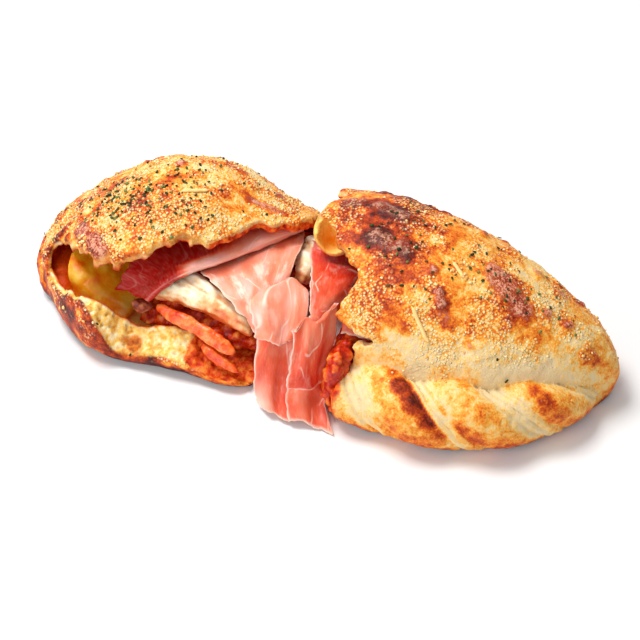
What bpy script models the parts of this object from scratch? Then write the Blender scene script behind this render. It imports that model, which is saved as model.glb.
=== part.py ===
"""A baked panzerotto torn open into two halves, with cured ham, mozzarella, tomato and ragu in the tear.

Run with: blender --background --python part.py
Shape values are in millimetres and are scaled to metres when a mesh is made. X runs along the
panzerotto from the left half to the right half, Y to the back and Z up, with the base on Z = 0.
"""

import math
import random

import bmesh
import bpy
import numpy as np
from mathutils import Vector, noise
from mathutils.bvhtree import BVHTree

MM = 0.001
SEED = 11
ORIGIN_SHIFT = (-0.66, 5.72)  # moves the shapes so that the base's centre is at the origin

# ---- driving dimensions ---------------------------------------------------------------------

SECTION_Z = 14.0  # height of the point that each half's cross-sections are drawn round
DOME_POWER = 2.1  # 2 is an ellipse, more is squarer
BASE_POWER = 3.0
BASE_DEPTH = 22.0
CRUST = 5.0  # thickness of the dome's wall
FLOOR_CRUST = 7.0  # thickness of the bottom crust
LIP_THICKENING = 11.0  # extra thickness of the left half's lower front wall
GAP = 0.5  # clearance between pieces that lie on each other

# Stations along X: (x, front edge y, back edge y, top z)
RIGHT_STATIONS = [
    (-20, -42, 53, 56),
    (0, -43, 54, 63),
    (20, -43, 55, 67),
    (50, -43, 53, 66),
    (75, -40, 49, 59.5),
    (95, -33, 44, 52.5),
    (115, -21, 34, 42.5),
    (130, -9, 25, 34),
    (142, 2, 17, 28),
]
LEFT_STATIONS = [
    (-137, -30, 4, 26),
    (-130, -36, 10, 33),
    (-118, -46, 22, 42.5),
    (-104, -57, 32, 53.5),
    (-88, -65, 41, 63),
    (-70, -66, 47, 68),
    (-52, -62, 48, 65),
    (-35, -61, 45, 57),
    (-20, -61, 44, 50.5),
    (0, -50, 41, 43),
]
RIGHT_TIP, RIGHT_CLOSING = 142.0, 16.0
LEFT_TIP, LEFT_CLOSING = -137.0, 14.0

# Where the dough tore: (angle round the section in degrees, x). 0 is the back, 90 the top, 180 the front.
RIGHT_TEAR = [(-90, 8), (-40, -8), (0, -12), (30, -9), (48, -4), (62, 0), (90, 3), (100, 8), (108, 15), (113, 20)]
RIGHT_TEAR += [(118, 24), (130, 25), (140, 24), (145, 25), (148, 34), (150.5, 44), (153, 42), (156, 34)]
RIGHT_TEAR += [(161, 32), (170, 31), (182, 31), (205, 31), (240, 20), (270, 8)]
LEFT_TEAR = [(-90, -8), (0, -14), (90, -12), (180, -10), (270, -8)]

# The left half's mouth: its lower lip as (x, outer z, slope of the torn face) and its upper lip as (x, y)
LOWER_LIP = [(-122, 18, 0.1), (-114, 18, 0.1), (-106, 22, 0.1), (-97, 26, 0.1), (-88, 28, 0.15), (-84, 25, 0.3)]
LOWER_LIP += [(-79, 18, 0.5), (-75, 12, 0.6), (-71, 8, 0.6), (-62, 7, 0.6), (-55, 8, 0.65), (-50, 9, 0.65)]
LOWER_LIP += [(-45, 9, 0.6), (-40, 8, 0.5), (-35, 6.5, 0.35), (-28, 6.5, 0.15), (25, 7, 0.1)]
LIP_Y = -64.0  # where the lower lip's outer z is measured
UPPER_LIP = [(-122, -34), (-114, -34), (-108, -38), (-103, -41), (-97, -44), (-89, -47.5), (-81, -49.5)]
UPPER_LIP += [(-76, -49.5), (-70, -45), (-64, -42.5), (-58, -39), (-55, -34.5), (-49, -29), (-44, -29), (-40, -24.5)]
UPPER_LIP += [(-33, -14.5), (-29, -5), (-24, 0), (-19, 5.5), (-14, 14), (-9, 18), (25, 24)]

# A curl of dough at the top of the right half's tear: middle, radii and the way it opens
CURL_MIDDLE, CURL_RADII = (5.0, 8.5, 52.0), (10.5, 12.5, 12.5)
CURL_OPENING, CURL_WALL = (0.1, -1.0, 0.35), 3.8

# Rolled edges: (x, y, radius) along the middle of each
RIGHT_ROPE = [(31, -45.5, 13.5), (46, -46.5, 14), (65, -46, 14.5), (82, -42.5, 14.5), (100, -34, 14), (114, -22, 13)]
RIGHT_ROPE += [(124, -6, 11.5), (129, 6, 10)]
LEFT_ROPE = [(-118, -37, 9), (-123, -30, 10), (-127, -21, 11), (-128, -12, 11), (-125, -2, 10), (-118, 7, 8)]
ROPE_PITCH, LEFT_PITCH = 66.0, 120.0  # length of one full turn of the two rolled strands
ROPE_LOBE = 0.2
LOBE_BELOW = 0.35  # share of the lobes left on the underside


# ---- curves and sections ----------------------------------------------------------------------


def through(stations, x, column=1):
    """A smooth curve through the stations' column, held flat beyond its ends."""
    table = np.array(stations, float)
    xs, ys = table[:, 0], table[:, column]
    slopes = np.gradient(ys, xs)
    x = np.clip(x, xs[0], xs[-1])
    i = np.clip(np.searchsorted(xs, x, side="right") - 1, 0, len(xs) - 2)
    width = xs[i + 1] - xs[i]
    t = (x - xs[i]) / width
    bend = (1 - t) * slopes[i] * width * t * (1 - t) - t * slopes[i + 1] * width * t * (1 - t)
    return ys[i] + (ys[i + 1] - ys[i]) * t * t * (3 - 2 * t) + bend


def closing(x, tip, length):
    """1 along the half, falling to 0 as a quarter circle over the last length before its tip."""
    left = np.clip(np.abs(tip - x) / length, 0, 1)
    return np.sqrt(np.maximum(1 - (1 - left) ** 2, 0))


def section_radius(half, x, angle):
    """Distance from the section's middle to the dome's outside, and the middle's y."""
    stations, tip, length = half
    front, back, top = (through(stations, x, column) for column in (1, 2, 3))
    shrink = closing(x, tip, length)
    middle = (front + back) / 2
    reach = (back - front) / 2 * shrink + 1e-6
    cosine, sine = np.abs(np.cos(angle)), np.sin(angle)
    rise = np.where(sine > 0, (top - SECTION_Z) * shrink, BASE_DEPTH * shrink) + 1e-6
    power = np.where(sine > 0, DOME_POWER, BASE_POWER)
    return ((cosine / reach) ** power + (np.abs(sine) / rise) ** power) ** (-1 / power), middle


RIGHT_HALF = (RIGHT_STATIONS, RIGHT_TIP, RIGHT_CLOSING)
LEFT_HALF = (LEFT_STATIONS, LEFT_TIP, LEFT_CLOSING)


def ring(half, x, angles, inset=0.0, floor=0.0):
    """Points of one section, inset from the dome's outside and flat on the floor height."""
    radius, middle = section_radius(half, x, angles)
    if inset and half is LEFT_HALF:
        thick = np.exp(-(((angles % (2 * math.pi)) - math.radians(190)) / math.radians(28)) ** 4)
        inset = inset + LIP_THICKENING * thick * np.clip((x + 92) / 10, 0, 1)
    radius = np.maximum(radius - inset, 0.2)
    z = np.maximum(SECTION_Z + radius * np.sin(angles), floor)
    return np.stack([x + 0 * angles, middle + radius * np.cos(angles), z], axis=1)


def wrinkle(points, size, height, seed):
    """Moves points up and down by smooth noise of that size, so that no surface is perfectly even."""
    shift = Vector((seed * 17.3, seed * 5.1, seed * 9.7))
    return np.array([height * noise.noise(Vector(p) / size + shift) for p in points])


# ---- meshes -----------------------------------------------------------------------------------


def new_object(name, points, faces, smooth=True):
    """An object in the panzerotto's collection from points in millimetres."""
    mesh = bpy.data.meshes.new(name)
    placed = (np.asarray(points, float) + [ORIGIN_SHIFT[0], ORIGIN_SHIFT[1], 0.0]) * MM
    mesh.from_pydata(placed.tolist(), [], faces)
    mesh.validate()
    build = bmesh.new()
    build.from_mesh(mesh)
    bmesh.ops.remove_doubles(build, verts=build.verts, dist=0.05 * MM)
    bmesh.ops.recalc_face_normals(build, faces=build.faces)
    build.to_mesh(mesh)
    build.free()
    if smooth:
        mesh.shade_smooth()
    made = bpy.data.objects.new(name, mesh)
    collection.objects.link(made)
    return made


def skin(rings):
    """Points and faces of a closed skin through the rings, with a pole at each end."""
    count = len(rings[0])
    points = [p for r in rings for p in r]
    faces = []
    for k in range(len(rings) - 1):
        for i in range(count):
            j = (i + 1) % count
            low, high = k * count, (k + 1) * count
            faces.append((low + i, low + j, high + j, high + i))
    for end, start in ((0, 0), (1, (len(rings) - 1) * count)):
        pole = len(points)
        points.append(np.mean(rings[-end], axis=0))
        for i in range(count):
            faces.append((start + i, start + (i + 1) % count, pole))
    return points, faces


def joined(body, others, operation="UNION", solver="EXACT"):
    """Applies one Boolean between the body and a list of objects, which are then removed."""
    group = bpy.data.collections.new("operands")
    bpy.context.scene.collection.children.link(group)
    for other in others:
        for owner in list(other.users_collection):
            owner.objects.unlink(other)
        group.objects.link(other)
    boolean = body.modifiers.new("join", "BOOLEAN")
    boolean.operation = operation
    boolean.solver = solver
    boolean.operand_type = "COLLECTION"
    boolean.collection = group
    bpy.context.view_layer.update()
    shape = bpy.data.meshes.new_from_object(body.evaluated_get(bpy.context.evaluated_depsgraph_get()))
    build = bmesh.new()
    build.from_mesh(shape)
    bmesh.ops.triangulate(build, faces=build.faces)
    bmesh.ops.remove_doubles(build, verts=build.verts, dist=0.02 * MM)
    bmesh.ops.dissolve_degenerate(build, edges=build.edges, dist=0.01 * MM)
    bmesh.ops.triangulate(build, faces=build.faces)
    build.to_mesh(shape)
    build.free()
    body.modifiers.clear()
    body.data = shape
    body.data.name = body.name
    for other in others:
        bpy.data.objects.remove(other)
    bpy.data.collections.remove(group)
    return body


def carve(body, others, clearance):
    """Cuts the other objects' shapes out of the body, with a clearance round them."""
    copies = []
    for other in others:
        shape = bpy.data.meshes.new_from_object(other.evaluated_get(bpy.context.evaluated_depsgraph_get()))
        swollen = [v.co + v.normal * clearance * MM for v in shape.vertices]
        for vertex, place in zip(shape.vertices, swollen):
            vertex.co = place
        copy = bpy.data.objects.new("swollen", shape)
        collection.objects.link(copy)
        copies.append(copy)
    return joined(body, copies, "DIFFERENCE")


def material(name, colour, roughness, subsurface=0.0):
    """A Principled material. The colour is linear red, green and blue."""
    made = bpy.data.materials.new(name)
    made.use_nodes = True
    shader = made.node_tree.nodes["Principled BSDF"]
    shader.inputs["Base Color"].default_value = (*colour, 1.0)
    shader.inputs["Roughness"].default_value = roughness
    shader.inputs["Subsurface Weight"].default_value = subsurface
    made.diffuse_color = (*colour, 1.0)
    return made


# ---- baked dough --------------------------------------------------------------------------------

RING_POINTS = 40
OUTER_RINGS = 12
INNER_RINGS = 6
INNER_TIP_BACK = 9.0  # how far the hollow's end stays behind the half's tip


def tear_edge(tear, angles, ragged, seed):
    """x of the torn edge at each angle, with ragged teeth."""
    degrees = (np.degrees(angles) + 90) % 360 - 90
    edge = through(tear, degrees)
    teeth = [ragged * noise.noise(Vector((a * 4.0, seed, 0.3))) for a in angles]
    return edge + np.array(teeth)


def dough_half(name, half, tear, seed):
    """A hollow half: an outside skin from the tip to the tear, and the hollow's skin back again."""
    angles = np.linspace(0, 2 * math.pi, RING_POINTS, endpoint=False)
    edge = tear_edge(tear, angles, 5.0, seed)
    tip = half[1]
    inner_tip = tip + math.copysign(INNER_TIP_BACK, edge.mean() - tip)
    rings = []
    for k in range(OUTER_RINGS + 1):
        share = 1 - math.cos(math.pi / 2 * (0.06 + 0.94 * k / OUTER_RINGS))
        points = ring(half, tip + (edge - tip) * share, angles)
        lift = wrinkle(points, 16.0, 1.6, seed) * (points[:, 2] > 2)
        points[:, 2] = np.maximum(points[:, 2] + lift, 0)
        rings.append(points)
    for k in range(INNER_RINGS + 1):
        share = 1 - k / INNER_RINGS
        inset = CRUST * (0.8 + 0.2 * min(k, 1))
        rings.append(ring(half, inner_tip + (edge - inner_tip) * share, angles, inset, FLOOR_CRUST))
    return new_object(name, *skin(rings))


def rope(name, path, pitch, turns_from, rings_count=27, ring_count=18):
    """A rolled edge: a two-strand twist that follows the path, rounded at both ends and flat below."""
    table = np.array(path, float)
    steps = np.hypot(*np.diff(table[:, :2], axis=0).T)
    along = np.concatenate([[0], np.cumsum(steps)])
    s = np.linspace(0, along[-1], rings_count)
    px, py, pr = (through(np.stack([along, table[:, c]], axis=1), s) for c in (0, 1, 2))
    heading = np.arctan2(np.gradient(py, s), np.gradient(px, s))
    psi = np.linspace(0, 2 * math.pi, ring_count, endpoint=False)
    lobe = ROPE_LOBE * (LOBE_BELOW + (1 - LOBE_BELOW) * np.clip(np.cos(psi) + 0.6, 0, 1))
    rings = []
    for k in range(rings_count):
        end = min(3 * s[k] + 3, along[-1] - s[k]) / pr[k]
        cap = math.sqrt(max(1 - (1 - min(end, 1)) ** 2, 0.02))
        bulge = np.abs(np.cos(psi - turns_from - math.pi * 2 * s[k] / pitch))
        radius = pr[k] * (1 + lobe * (2 * bulge - 1.2)) * cap
        across, up = radius * np.sin(psi), radius * np.cos(psi)
        x = px[k] + across * math.sin(heading[k])
        y = py[k] - across * math.cos(heading[k])
        rings.append(np.stack([x, y, np.maximum(pr[k] - 1 + up, 0)], axis=1))
    return new_object(name, *skin(rings))


def mouth_cutter():
    """What is torn away from the left half: above the lower lip and in front of the upper lip."""
    rings = []
    for x in np.linspace(LOWER_LIP[0][0], 25, 60):
        jag = [min(4.0, 0.1 * (x + 124)) * noise.noise(Vector((x / 5.5, 2.0 + n, 0.5))) for n in range(2)]
        low = through(LOWER_LIP, x) + 0.5 * jag[0]
        slope = through(LOWER_LIP, x, 2)
        back = through(UPPER_LIP, x) + jag[1]
        bend = min(-44.0, back - 1)
        ledge = low + slope * (bend - LIP_Y)
        corners = [(x, -95, low - slope * (95 + LIP_Y)), (x, bend, ledge), (x, back, ledge + 1)]
        rings.append(np.array(corners + [(x, back, 95), (x, -95, 95)]))
    return new_object("mouth", *skin(rings), smooth=False)


def ball(name, middle, radii, fineness=3):
    build = bmesh.new()
    bmesh.ops.create_icosphere(build, subdivisions=fineness, radius=1.0)
    points = np.array([v.co for v in build.verts]) * radii + middle
    faces = [[v.index for v in f.verts] for f in build.faces]
    build.free()
    return new_object(name, points, faces)


def on_dome(surface, half, x, degrees):
    """The point of the dough's surface that is seen from outside a section's angle, and its facing."""
    angle = np.array([math.radians(degrees)])
    inside, = ring(half, x, angle, 4.0)
    outside, = ring(half, x, angle, -20.0)
    back = Vector(inside - outside).normalized()
    shift = Vector((*ORIGIN_SHIFT, 0.0))
    hit, facing = surface.ray_cast((Vector(outside) + shift) * MM, back)[:2]
    return hit / MM - shift, facing


def sprinkle(at, facing, size, towards):
    """One crumb, flake or shred: a squashed ball lying on the surface, half sunk in it."""
    build = bmesh.new()
    bmesh.ops.create_icosphere(build, subdivisions=1, radius=1.0)
    across = facing.cross(towards).normalized()
    axes = (across.cross(facing), across, facing)
    for vertex in build.verts:
        spread = sum((axis * c * s for axis, c, s in zip(axes, vertex.co, size)), Vector())
        vertex.co = at + facing * 0.25 * size[2] + spread
    points = [tuple(v.co) for v in build.verts]
    faces = [[v.index for v in f.verts] for f in build.faces]
    build.free()
    return new_object("sprinkle", points, faces)


CRUMB, HERB = (1.7, 1.4, 1.2), (1.9, 1.1, 0.8)
SHRED_RADIUS = 1.0
# Shreds of cheese on the domes: x and degrees of one end, then of the other
LEFT_SHREDS = [(-62, 95, -52, 88)]
RIGHT_SHREDS = [(55, 128, 66, 143), (64, 98, 71, 104)]


def sprinkles(body, half, low, high, shreds, seed):
    """Cheese crumbs and herb flakes over the dome's top between two x, and cheese shreds at set places."""
    draw = random.Random(seed)
    surface = BVHTree.FromObject(body, bpy.context.evaluated_depsgraph_get())
    made = []
    count = 15
    for n in range(count):
        x = low + (high - low) * (n + draw.random()) / count
        at, facing = on_dome(surface, half, x, draw.uniform(62, 128))
        size = [s * draw.uniform(0.8, 1.25) for s in (HERB if n % 3 == 0 else CRUMB)]
        turn = draw.uniform(0, math.pi)
        made.append(sprinkle(at, facing, size, Vector((math.cos(turn), math.sin(turn), 0.3))))
    for x0, degrees0, x1, degrees1 in shreds:
        start, end = (on_dome(surface, half, *place)[0] for place in ((x0, degrees0), (x1, degrees1)))
        at, facing = on_dome(surface, half, (x0 + x1) / 2, (degrees0 + degrees1) / 2)
        size = ((end - start).length / 2, SHRED_RADIUS, SHRED_RADIUS)
        made.append(sprinkle(at, facing, size, end - start))
    return made


# ---- filling --------------------------------------------------------------------------------------


def filling(name, half, start, end, level, front, ripple, seed):
    """What fills a half's hollow from start to end: under a rippled level, behind the front y."""
    angles = np.linspace(0, 2 * math.pi, 20, endpoint=False)
    hollow = [ring(half, x, angles, CRUST + GAP + 1.4, -90.0) for x in np.linspace(start, end, 12)]
    heaps = []
    for x in np.linspace(start - 3, end + 3, 14):
        y = through(front, x) + np.array([0, 1.5, 5, 11, 18, 27, 37, 50, 65, 100])
        z = through(level, x) - 9 * np.exp(-(y - y[0]) / 3.0)
        top = np.stack([x + 0 * y, y, z], axis=1)
        top[:, 2] += wrinkle(top, 7.0, ripple, seed)
        top[:, 2] = np.maximum(top[:, 2], FLOOR_CRUST + 2.0 + 0.01 * np.arange(len(y)))
        under = [(x, y[-1], FLOOR_CRUST + 2 * GAP), (x, y[0], FLOOR_CRUST + 2 * GAP)]
        heaps.append(np.concatenate([top, np.array(under)]))
    heap = new_object(name, *skin(heaps))
    return joined(heap, [new_object("hollow", *skin(hollow))], "INTERSECT", "MANIFOLD")


def lump(name, centre, size, turn, tilt, bend=0.0, ripple=0.8, seed=1, fineness=3, floor=0.0):
    """A soft piece: a ball squared a little, scaled, bent along its length and laid at an angle."""
    build = bmesh.new()
    bmesh.ops.create_icosphere(build, subdivisions=fineness, radius=1.0)
    points = np.array([v.co for v in build.verts])
    faces = [[v.index for v in f.verts] for f in build.faces]
    build.free()
    points = np.sign(points) * np.abs(points) ** 0.85 * size
    points[:, 2] += bend * (points[:, 0] / size[0]) ** 2
    points[:, 2] += wrinkle(points, 6.0, ripple, seed)
    yaw, pitch = math.radians(turn), math.radians(tilt)
    x, y, z = points.T
    x, z = x * math.cos(pitch) + z * math.sin(pitch), z * math.cos(pitch) - x * math.sin(pitch)
    x, y = x * math.cos(yaw) - y * math.sin(yaw), x * math.sin(yaw) + y * math.cos(yaw)
    points = np.stack([x, y, z], axis=1) + centre
    points[:, 2] = np.maximum(points[:, 2], floor)
    return new_object(name, points, faces)


# ---- ham --------------------------------------------------------------------------------------------

HAM_THICKNESS = 1.1

# Each slice is a cage of rows from its back or upper edge to its lower edge
HAM = {
    "ham_back": [
        [
            (-78, -42.5, 20), (-70.5, -33.5, 33), (-61, -16, 38), (-48, -0.5, 40),
            (-38.5, 18.5, 38), (-26, 31, 33.5),
        ],
        [
            (-75, -41.5, 24), (-67, -36.5, 37), (-56, -24.5, 42), (-43, -10.5, 44), (-34, 9.5, 42),
            (-21.5, 26.5, 36),
        ],
        [
            (-69, -44.5, 27), (-62, -42.5, 39), (-51, -33, 45), (-35, -22.5, 47), (-28, -0.5, 45),
            (-16, 20.5, 39),
        ],
        [
            (-64, -48.5, 30), (-58.5, -47, 38), (-48.5, -34.5, 43), (-33.5, -24.5, 45),
            (-25.5, -3, 43), (-15.5, 18.5, 37),
        ],
        [
            (-63, -44.5, 29), (-57, -42, 37), (-48, -30, 40), (-34.5, -20, 42), (-25.5, -1, 40),
            (-16.5, 18.5, 35),
        ],
    ],
    "ham_left": [
        [(-51, -24.5, 35), (-36, -13, 37.5), (-26.5, 5, 36), (-17.5, 22.5, 31)],
        [(-42, -32, 39), (-27, -24, 42), (-17.5, -11, 42), (-11.5, 4, 38)],
        [(-29.5, -39, 40), (-19, -34, 43.5), (-11.5, -24.5, 43.5), (-7.5, -13, 42)],
        [(-18, -44.5, 37), (-13.5, -39.5, 40), (-10, -32, 40), (-7, -22, 39)],
        [(-9, -49, 30), (-8, -44.5, 33), (-6.5, -37, 35), (-4.5, -29, 36)],
    ],
    "ham_apron": [
        [
            (-12.5, -40.5, 43), (-10.5, -36.5, 44.5), (-5, -31, 44.5), (-3.5, -24, 44),
            (2, -25.5, 43), (6.5, -26.5, 42.5),
        ],
        [
            (-15.5, -42.5, 45.5), (-13.5, -35.5, 48), (-6, -29, 48.5), (-5.5, -19, 48),
            (1, -22.5, 46), (6, -25, 45.5),
        ],
        [
            (-10.5, -49.5, 43.5), (-6, -46, 47), (-1, -41, 46.5), (2.5, -37, 44.5),
            (6.5, -37, 45.5), (10.5, -36.5, 42.5),
        ],
        [
            (-7.5, -52.5, 38.5), (-1.5, -51.5, 41), (2.5, -50, 39), (5, -47, 37), (8, -45.5, 38.5),
            (11, -43.5, 36.5),
        ],
        [
            (-6.5, -53.5, 35), (0, -55.5, 37), (3.5, -54, 34.5), (5.5, -51.5, 33.5), (8, -49, 35),
            (10.5, -46.5, 34),
        ],
    ],
    "ham_tail_left": [
        [(-9.5, -42, 31), (-3, -44.5, 34.5), (1, -41, 33), (5.5, -36.5, 33)],
        [(-8.5, -52, 28), (-1, -55, 31), (1.5, -48, 27.5), (8, -47, 29)],
        [(-7, -56.5, 17.5), (-2, -55.5, 21.5), (2.5, -53, 17), (8, -50, 20.5)],
        [(-5, -60.5, 8), (0.5, -58.5, 12.5), (5, -59, 7.5), (9, -56, 9.5)],
        [(-2, -61.5, 1.5), (5, -65, 4.5), (10, -66, 1.5), (15, -65.5, 1.5)],
    ],
    "ham_right": [
        [(-14.5, 27.5, 32), (-8.5, 29, 33), (-1.5, 29, 34), (6.5, 29.5, 34)],
        [(-9.5, 12, 34), (-3.5, 14, 32.5), (4.5, 14, 32), (14, 14.5, 32)],
        [(1, -12.5, 46), (7.5, -11.5, 45.5), (14.5, -9, 45), (22, -4, 42)],
        [(8, -28.5, 48), (14.5, -29.5, 48.5), (19, -23, 46.5), (22.5, -16, 43)],
        [(11.5, -37, 44.5), (16.5, -38, 44), (19, -28, 39.5), (22, -17, 37)],
        [(14, -41.5, 40.5), (18, -41.5, 39.5), (19.5, -32, 36), (22, -21, 34)],
    ],
    "ham_drape": [
        [(11.5, -49, 42.5), (13.5, -43, 45), (19, -45, 41), (20, -39, 42.5), (20.5, -30, 41)],
        [(10, -50.5, 46), (11.5, -41, 50.5), (18, -43.5, 45), (19.5, -37, 47.5), (20, -26, 46.5)],
        [(11.5, -53.5, 38), (15.5, -49.5, 42), (19, -49.5, 37), (21, -43.5, 40), (21.5, -33, 40)],
        [(11.5, -56.5, 30), (17, -53.5, 33), (19.5, -51, 27.5), (21.5, -45.5, 31), (23, -38, 31)],
        [(10.5, -60, 22), (17, -56, 23), (19.5, -53.5, 19), (21.5, -49, 22), (23, -42, 22)],
        [(10.5, -60, 17), (17.5, -57, 17.5), (21, -54.5, 14.5), (22.5, -50, 15.5), (23.5, -45.5, 15)],
    ],
    "ham_tail_right": [
        [(9.5, -53.5, 18), (13, -50, 17.5), (17.5, -47.5, 15.5), (20, -43, 12)],
        [(10, -55.5, 15.5), (16.5, -53, 16), (22, -51, 12.5), (23.5, -48.5, 9.5)],
        [(9, -58.5, 10), (16.5, -59, 12), (19, -50, 8.5), (25.5, -51, 5.5)],
        [(11, -62, 6), (17.5, -60.5, 8.5), (23.5, -57.5, 5), (29, -56.5, 2.5)],
        [(15, -66, 3.5), (21, -65.5, 4.5), (27, -63.5, 1.5), (34, -63.5, 1.5)],
    ],
    "ham_inner": [
        [(24.5, -19, 39), (29, -19, 40), (36, -19, 40), (44, -18, 38)],
        [(23.5, -27, 37), (29, -27.5, 37), (36.5, -27, 35.5), (43, -25, 34)],
        [(25.5, -34, 33), (30, -34.5, 33.5), (36.5, -32.5, 31.5), (41, -29, 31)],
    ],
}
SLABS = {
    "mozzarella_left": [
        [
            (-67, -37, 28), (-64, -28, 31), (-54.5, -24.5, 34), (-40.5, -27.5, 32),
            (-26.5, -33.5, 29), (-15, -40.5, 26),
        ],
        [
            (-68, -38.5, 25), (-59.5, -36.5, 31), (-46, -35, 35), (-34, -36.5, 32),
            (-22.5, -39.5, 28), (-13.5, -42, 24),
        ],
        [
            (-64.5, -40, 22), (-56, -40.5, 25), (-43.5, -40.5, 27), (-32, -41.5, 25),
            (-22, -41.5, 22), (-14.5, -42, 21),
        ],
    ],
    "tomato_upper": [
        [
            (-63.5, -43, 26), (-52.5, -45, 27.5), (-40.5, -45.5, 26.5), (-27.5, -47.5, 23.5),
            (-17.5, -48.5, 19),
        ],
        [(-62, -47, 22), (-51, -50.5, 23), (-38.5, -52, 21), (-25.5, -53.5, 17.5), (-17.5, -52, 15.5)],
    ],
    "tomato_lower": [
        [(-37, -50, 18.5), (-29, -52, 17.5), (-21, -53, 14.5), (-13.5, -53, 11.5)],
        [(-36, -53, 13), (-28.5, -55.5, 11.5), (-21.5, -56.5, 9.5), (-15, -56, 9)],
    ],
}


def sheet(name, cage):
    """A surface through a cage of points."""
    rows, columns = len(cage), len(cage[0])
    faces = []
    for r in range(rows - 1):
        for c in range(columns - 1):
            corner = r * columns + c
            faces.append((corner, corner + 1, corner + columns + 1, corner + columns))
    return new_object(name, [p for row in cage for p in row], faces)


def ham_slice(name, cage):
    """A thin slice: a sheet rounded by Subdivision Surface and thickened by Solidify."""
    slice_ = sheet(name, cage)
    rounding = slice_.modifiers.new("round", "SUBSURF")
    rounding.levels = rounding.render_levels = 1
    rounding.boundary_smooth = "PRESERVE_CORNERS"
    slice_.modifiers.new("split", "TRIANGULATE")
    thick = slice_.modifiers.new("thick", "SOLIDIFY")
    thick.thickness = HAM_THICKNESS * MM
    thick.offset = 0.0
    return slice_


def slab(name, cage, thickness):
    """A thick soft piece: a sheet thickened by Solidify and rounded by Subdivision Surface."""
    piece = sheet(name, cage)
    thick = piece.modifiers.new("thick", "SOLIDIFY")
    thick.thickness = thickness * MM
    thick.offset = 0.0
    rounding = piece.modifiers.new("round", "SUBSURF")
    rounding.levels = rounding.render_levels = 1
    return piece


# ---- assembly -----------------------------------------------------------------------------------------

# Fillings: (x, top z) and (x, front y) along each, and how high their tops ripple
LEFT_FILL_LEVEL = [(-76, 10), (-70, 15), (-60, 18), (-45, 21), (-25, 21), (-8, 18)]
LEFT_FILL_FRONT = [(-74, -42), (-60, -44), (-46, -46), (-36, -49), (-25, -51.5), (-14, -51.5), (-8, -46)]
CHEESE_LEVEL = [(-118, 34), (-110, 31), (-102, 26), (-95, 20.5), (-88, 16.5), (-82, 13), (-78, 10)]
CHEESE_FRONT = [(-118, -34), (-108, -42), (-98, -44), (-78, -44)]
RIGHT_FILL_LEVEL = [(20, 24), (28, 28), (34, 30), (45, 32), (70, 48), (100, 42)]
RIGHT_FILL_FRONT = [(20, -34), (28, -36), (38, -33), (50, -27), (70, -26), (100, -14)]
RAGU_RIPPLE, CHEESE_RIPPLE = 2.6, 1.2


def build_dough():
    """Both halves of the baked dough, with their rolled edges and sprinkles."""
    crust = material("crust", (0.70, 0.34, 0.09), 0.55)
    left = dough_half("crust_left", LEFT_HALF, LEFT_TEAR, 3.1)
    joined(left, [mouth_cutter()], "DIFFERENCE")
    joined(left, [rope("rope", LEFT_ROPE, LEFT_PITCH, 0.6, rings_count=17, ring_count=16)])
    joined(left, sprinkles(left, LEFT_HALF, -108, -48, LEFT_SHREDS, SEED), solver="MANIFOLD")
    right = dough_half("crust_right", RIGHT_HALF, RIGHT_TEAR, 7.7)
    joined(right, [rope("rope", RIGHT_ROPE, ROPE_PITCH, 1.2), ball("curl", CURL_MIDDLE, CURL_RADII)])
    hollow = np.array(CURL_MIDDLE) + 6 * np.array(CURL_OPENING)
    joined(right, [ball("hollow", hollow, np.array(CURL_RADII) - CURL_WALL)], "DIFFERENCE")
    joined(right, sprinkles(right, RIGHT_HALF, 20, 108, RIGHT_SHREDS, SEED + 1), solver="MANIFOLD")
    for half in (left, right):
        half.data.set_sharp_from_angle(angle=math.radians(42))
        half.data.materials.clear()
        half.data.materials.append(crust)


def build_filling():
    """The ragu, cheese and tomato that show in the tear."""
    ragu = material("ragu", (0.55, 0.07, 0.02), 0.35)
    white = material("mozzarella", (0.86, 0.76, 0.55), 0.35, 0.2)
    tomato = material("tomato", (0.72, 0.08, 0.02), 0.25)
    cheese = material("melted_cheese", (0.85, 0.47, 0.09), 0.3, 0.2)
    meat = material("cooked_ham", (0.55, 0.22, 0.12), 0.45)
    left = filling("ragu_left", LEFT_HALF, -74, -8, LEFT_FILL_LEVEL, LEFT_FILL_FRONT, RAGU_RIPPLE, 1.3)
    right = filling("ragu_right", RIGHT_HALF, 20, 100, RIGHT_FILL_LEVEL, RIGHT_FILL_FRONT, RAGU_RIPPLE, 2.9)
    joined(right, [lump("spill", (29.5, -43.5, 16), (5.8, 13, 19), 0, 0, 0, 1.5, 8, floor=1.0)])
    melted = filling("melted_cheese", LEFT_HALF, -111, -79, CHEESE_LEVEL, CHEESE_FRONT, CHEESE_RIPPLE, 4.1)
    carve(right, [bpy.data.objects[name] for name in ("crust_right", "ham_tail_right", "ham_drape")], GAP)
    pieces = [
        (left, ragu),
        (right, ragu),
        (slab("mozzarella_left", SLABS["mozzarella_left"], 9.0), white),
        (melted, cheese),
        (slab("tomato_upper", SLABS["tomato_upper"], 4.5), tomato),
        (slab("tomato_lower", SLABS["tomato_lower"], 4.0), tomato),
        (lump("mozzarella_back", (-8.5, 6, 30.5), (5.5, 15, 4.5), 12, 0, 0, 0.6, 5, 2), white),
        (lump("ham_curl", (-71, -42.5, 18.5), (5, 3, 3.5), 30, 20, 1.5, 0.8, 7, 2), meat),
    ]
    for piece, finish in pieces:
        piece.data.materials.clear()
        piece.data.materials.append(finish)


def build_ham():
    ham = material("ham", (0.80, 0.22, 0.17), 0.35, 0.3)
    for name, cage in HAM.items():
        ham_slice(name, cage).data.materials.append(ham)


for old in list(bpy.data.objects):
    bpy.data.objects.remove(old)
collection = bpy.data.collections.new("panzerotto")
bpy.context.scene.collection.children.link(collection)
build_dough()
build_ham()
build_filling()
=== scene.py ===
"""Looks of a baked panzerotto torn in two: crust, cured ham, mozzarella, tomato and ragu.

Shapes are worked out in millimetres in the same coordinates as the part's source, and moved to the
frame's origin when a mesh is made.
"""

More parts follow.
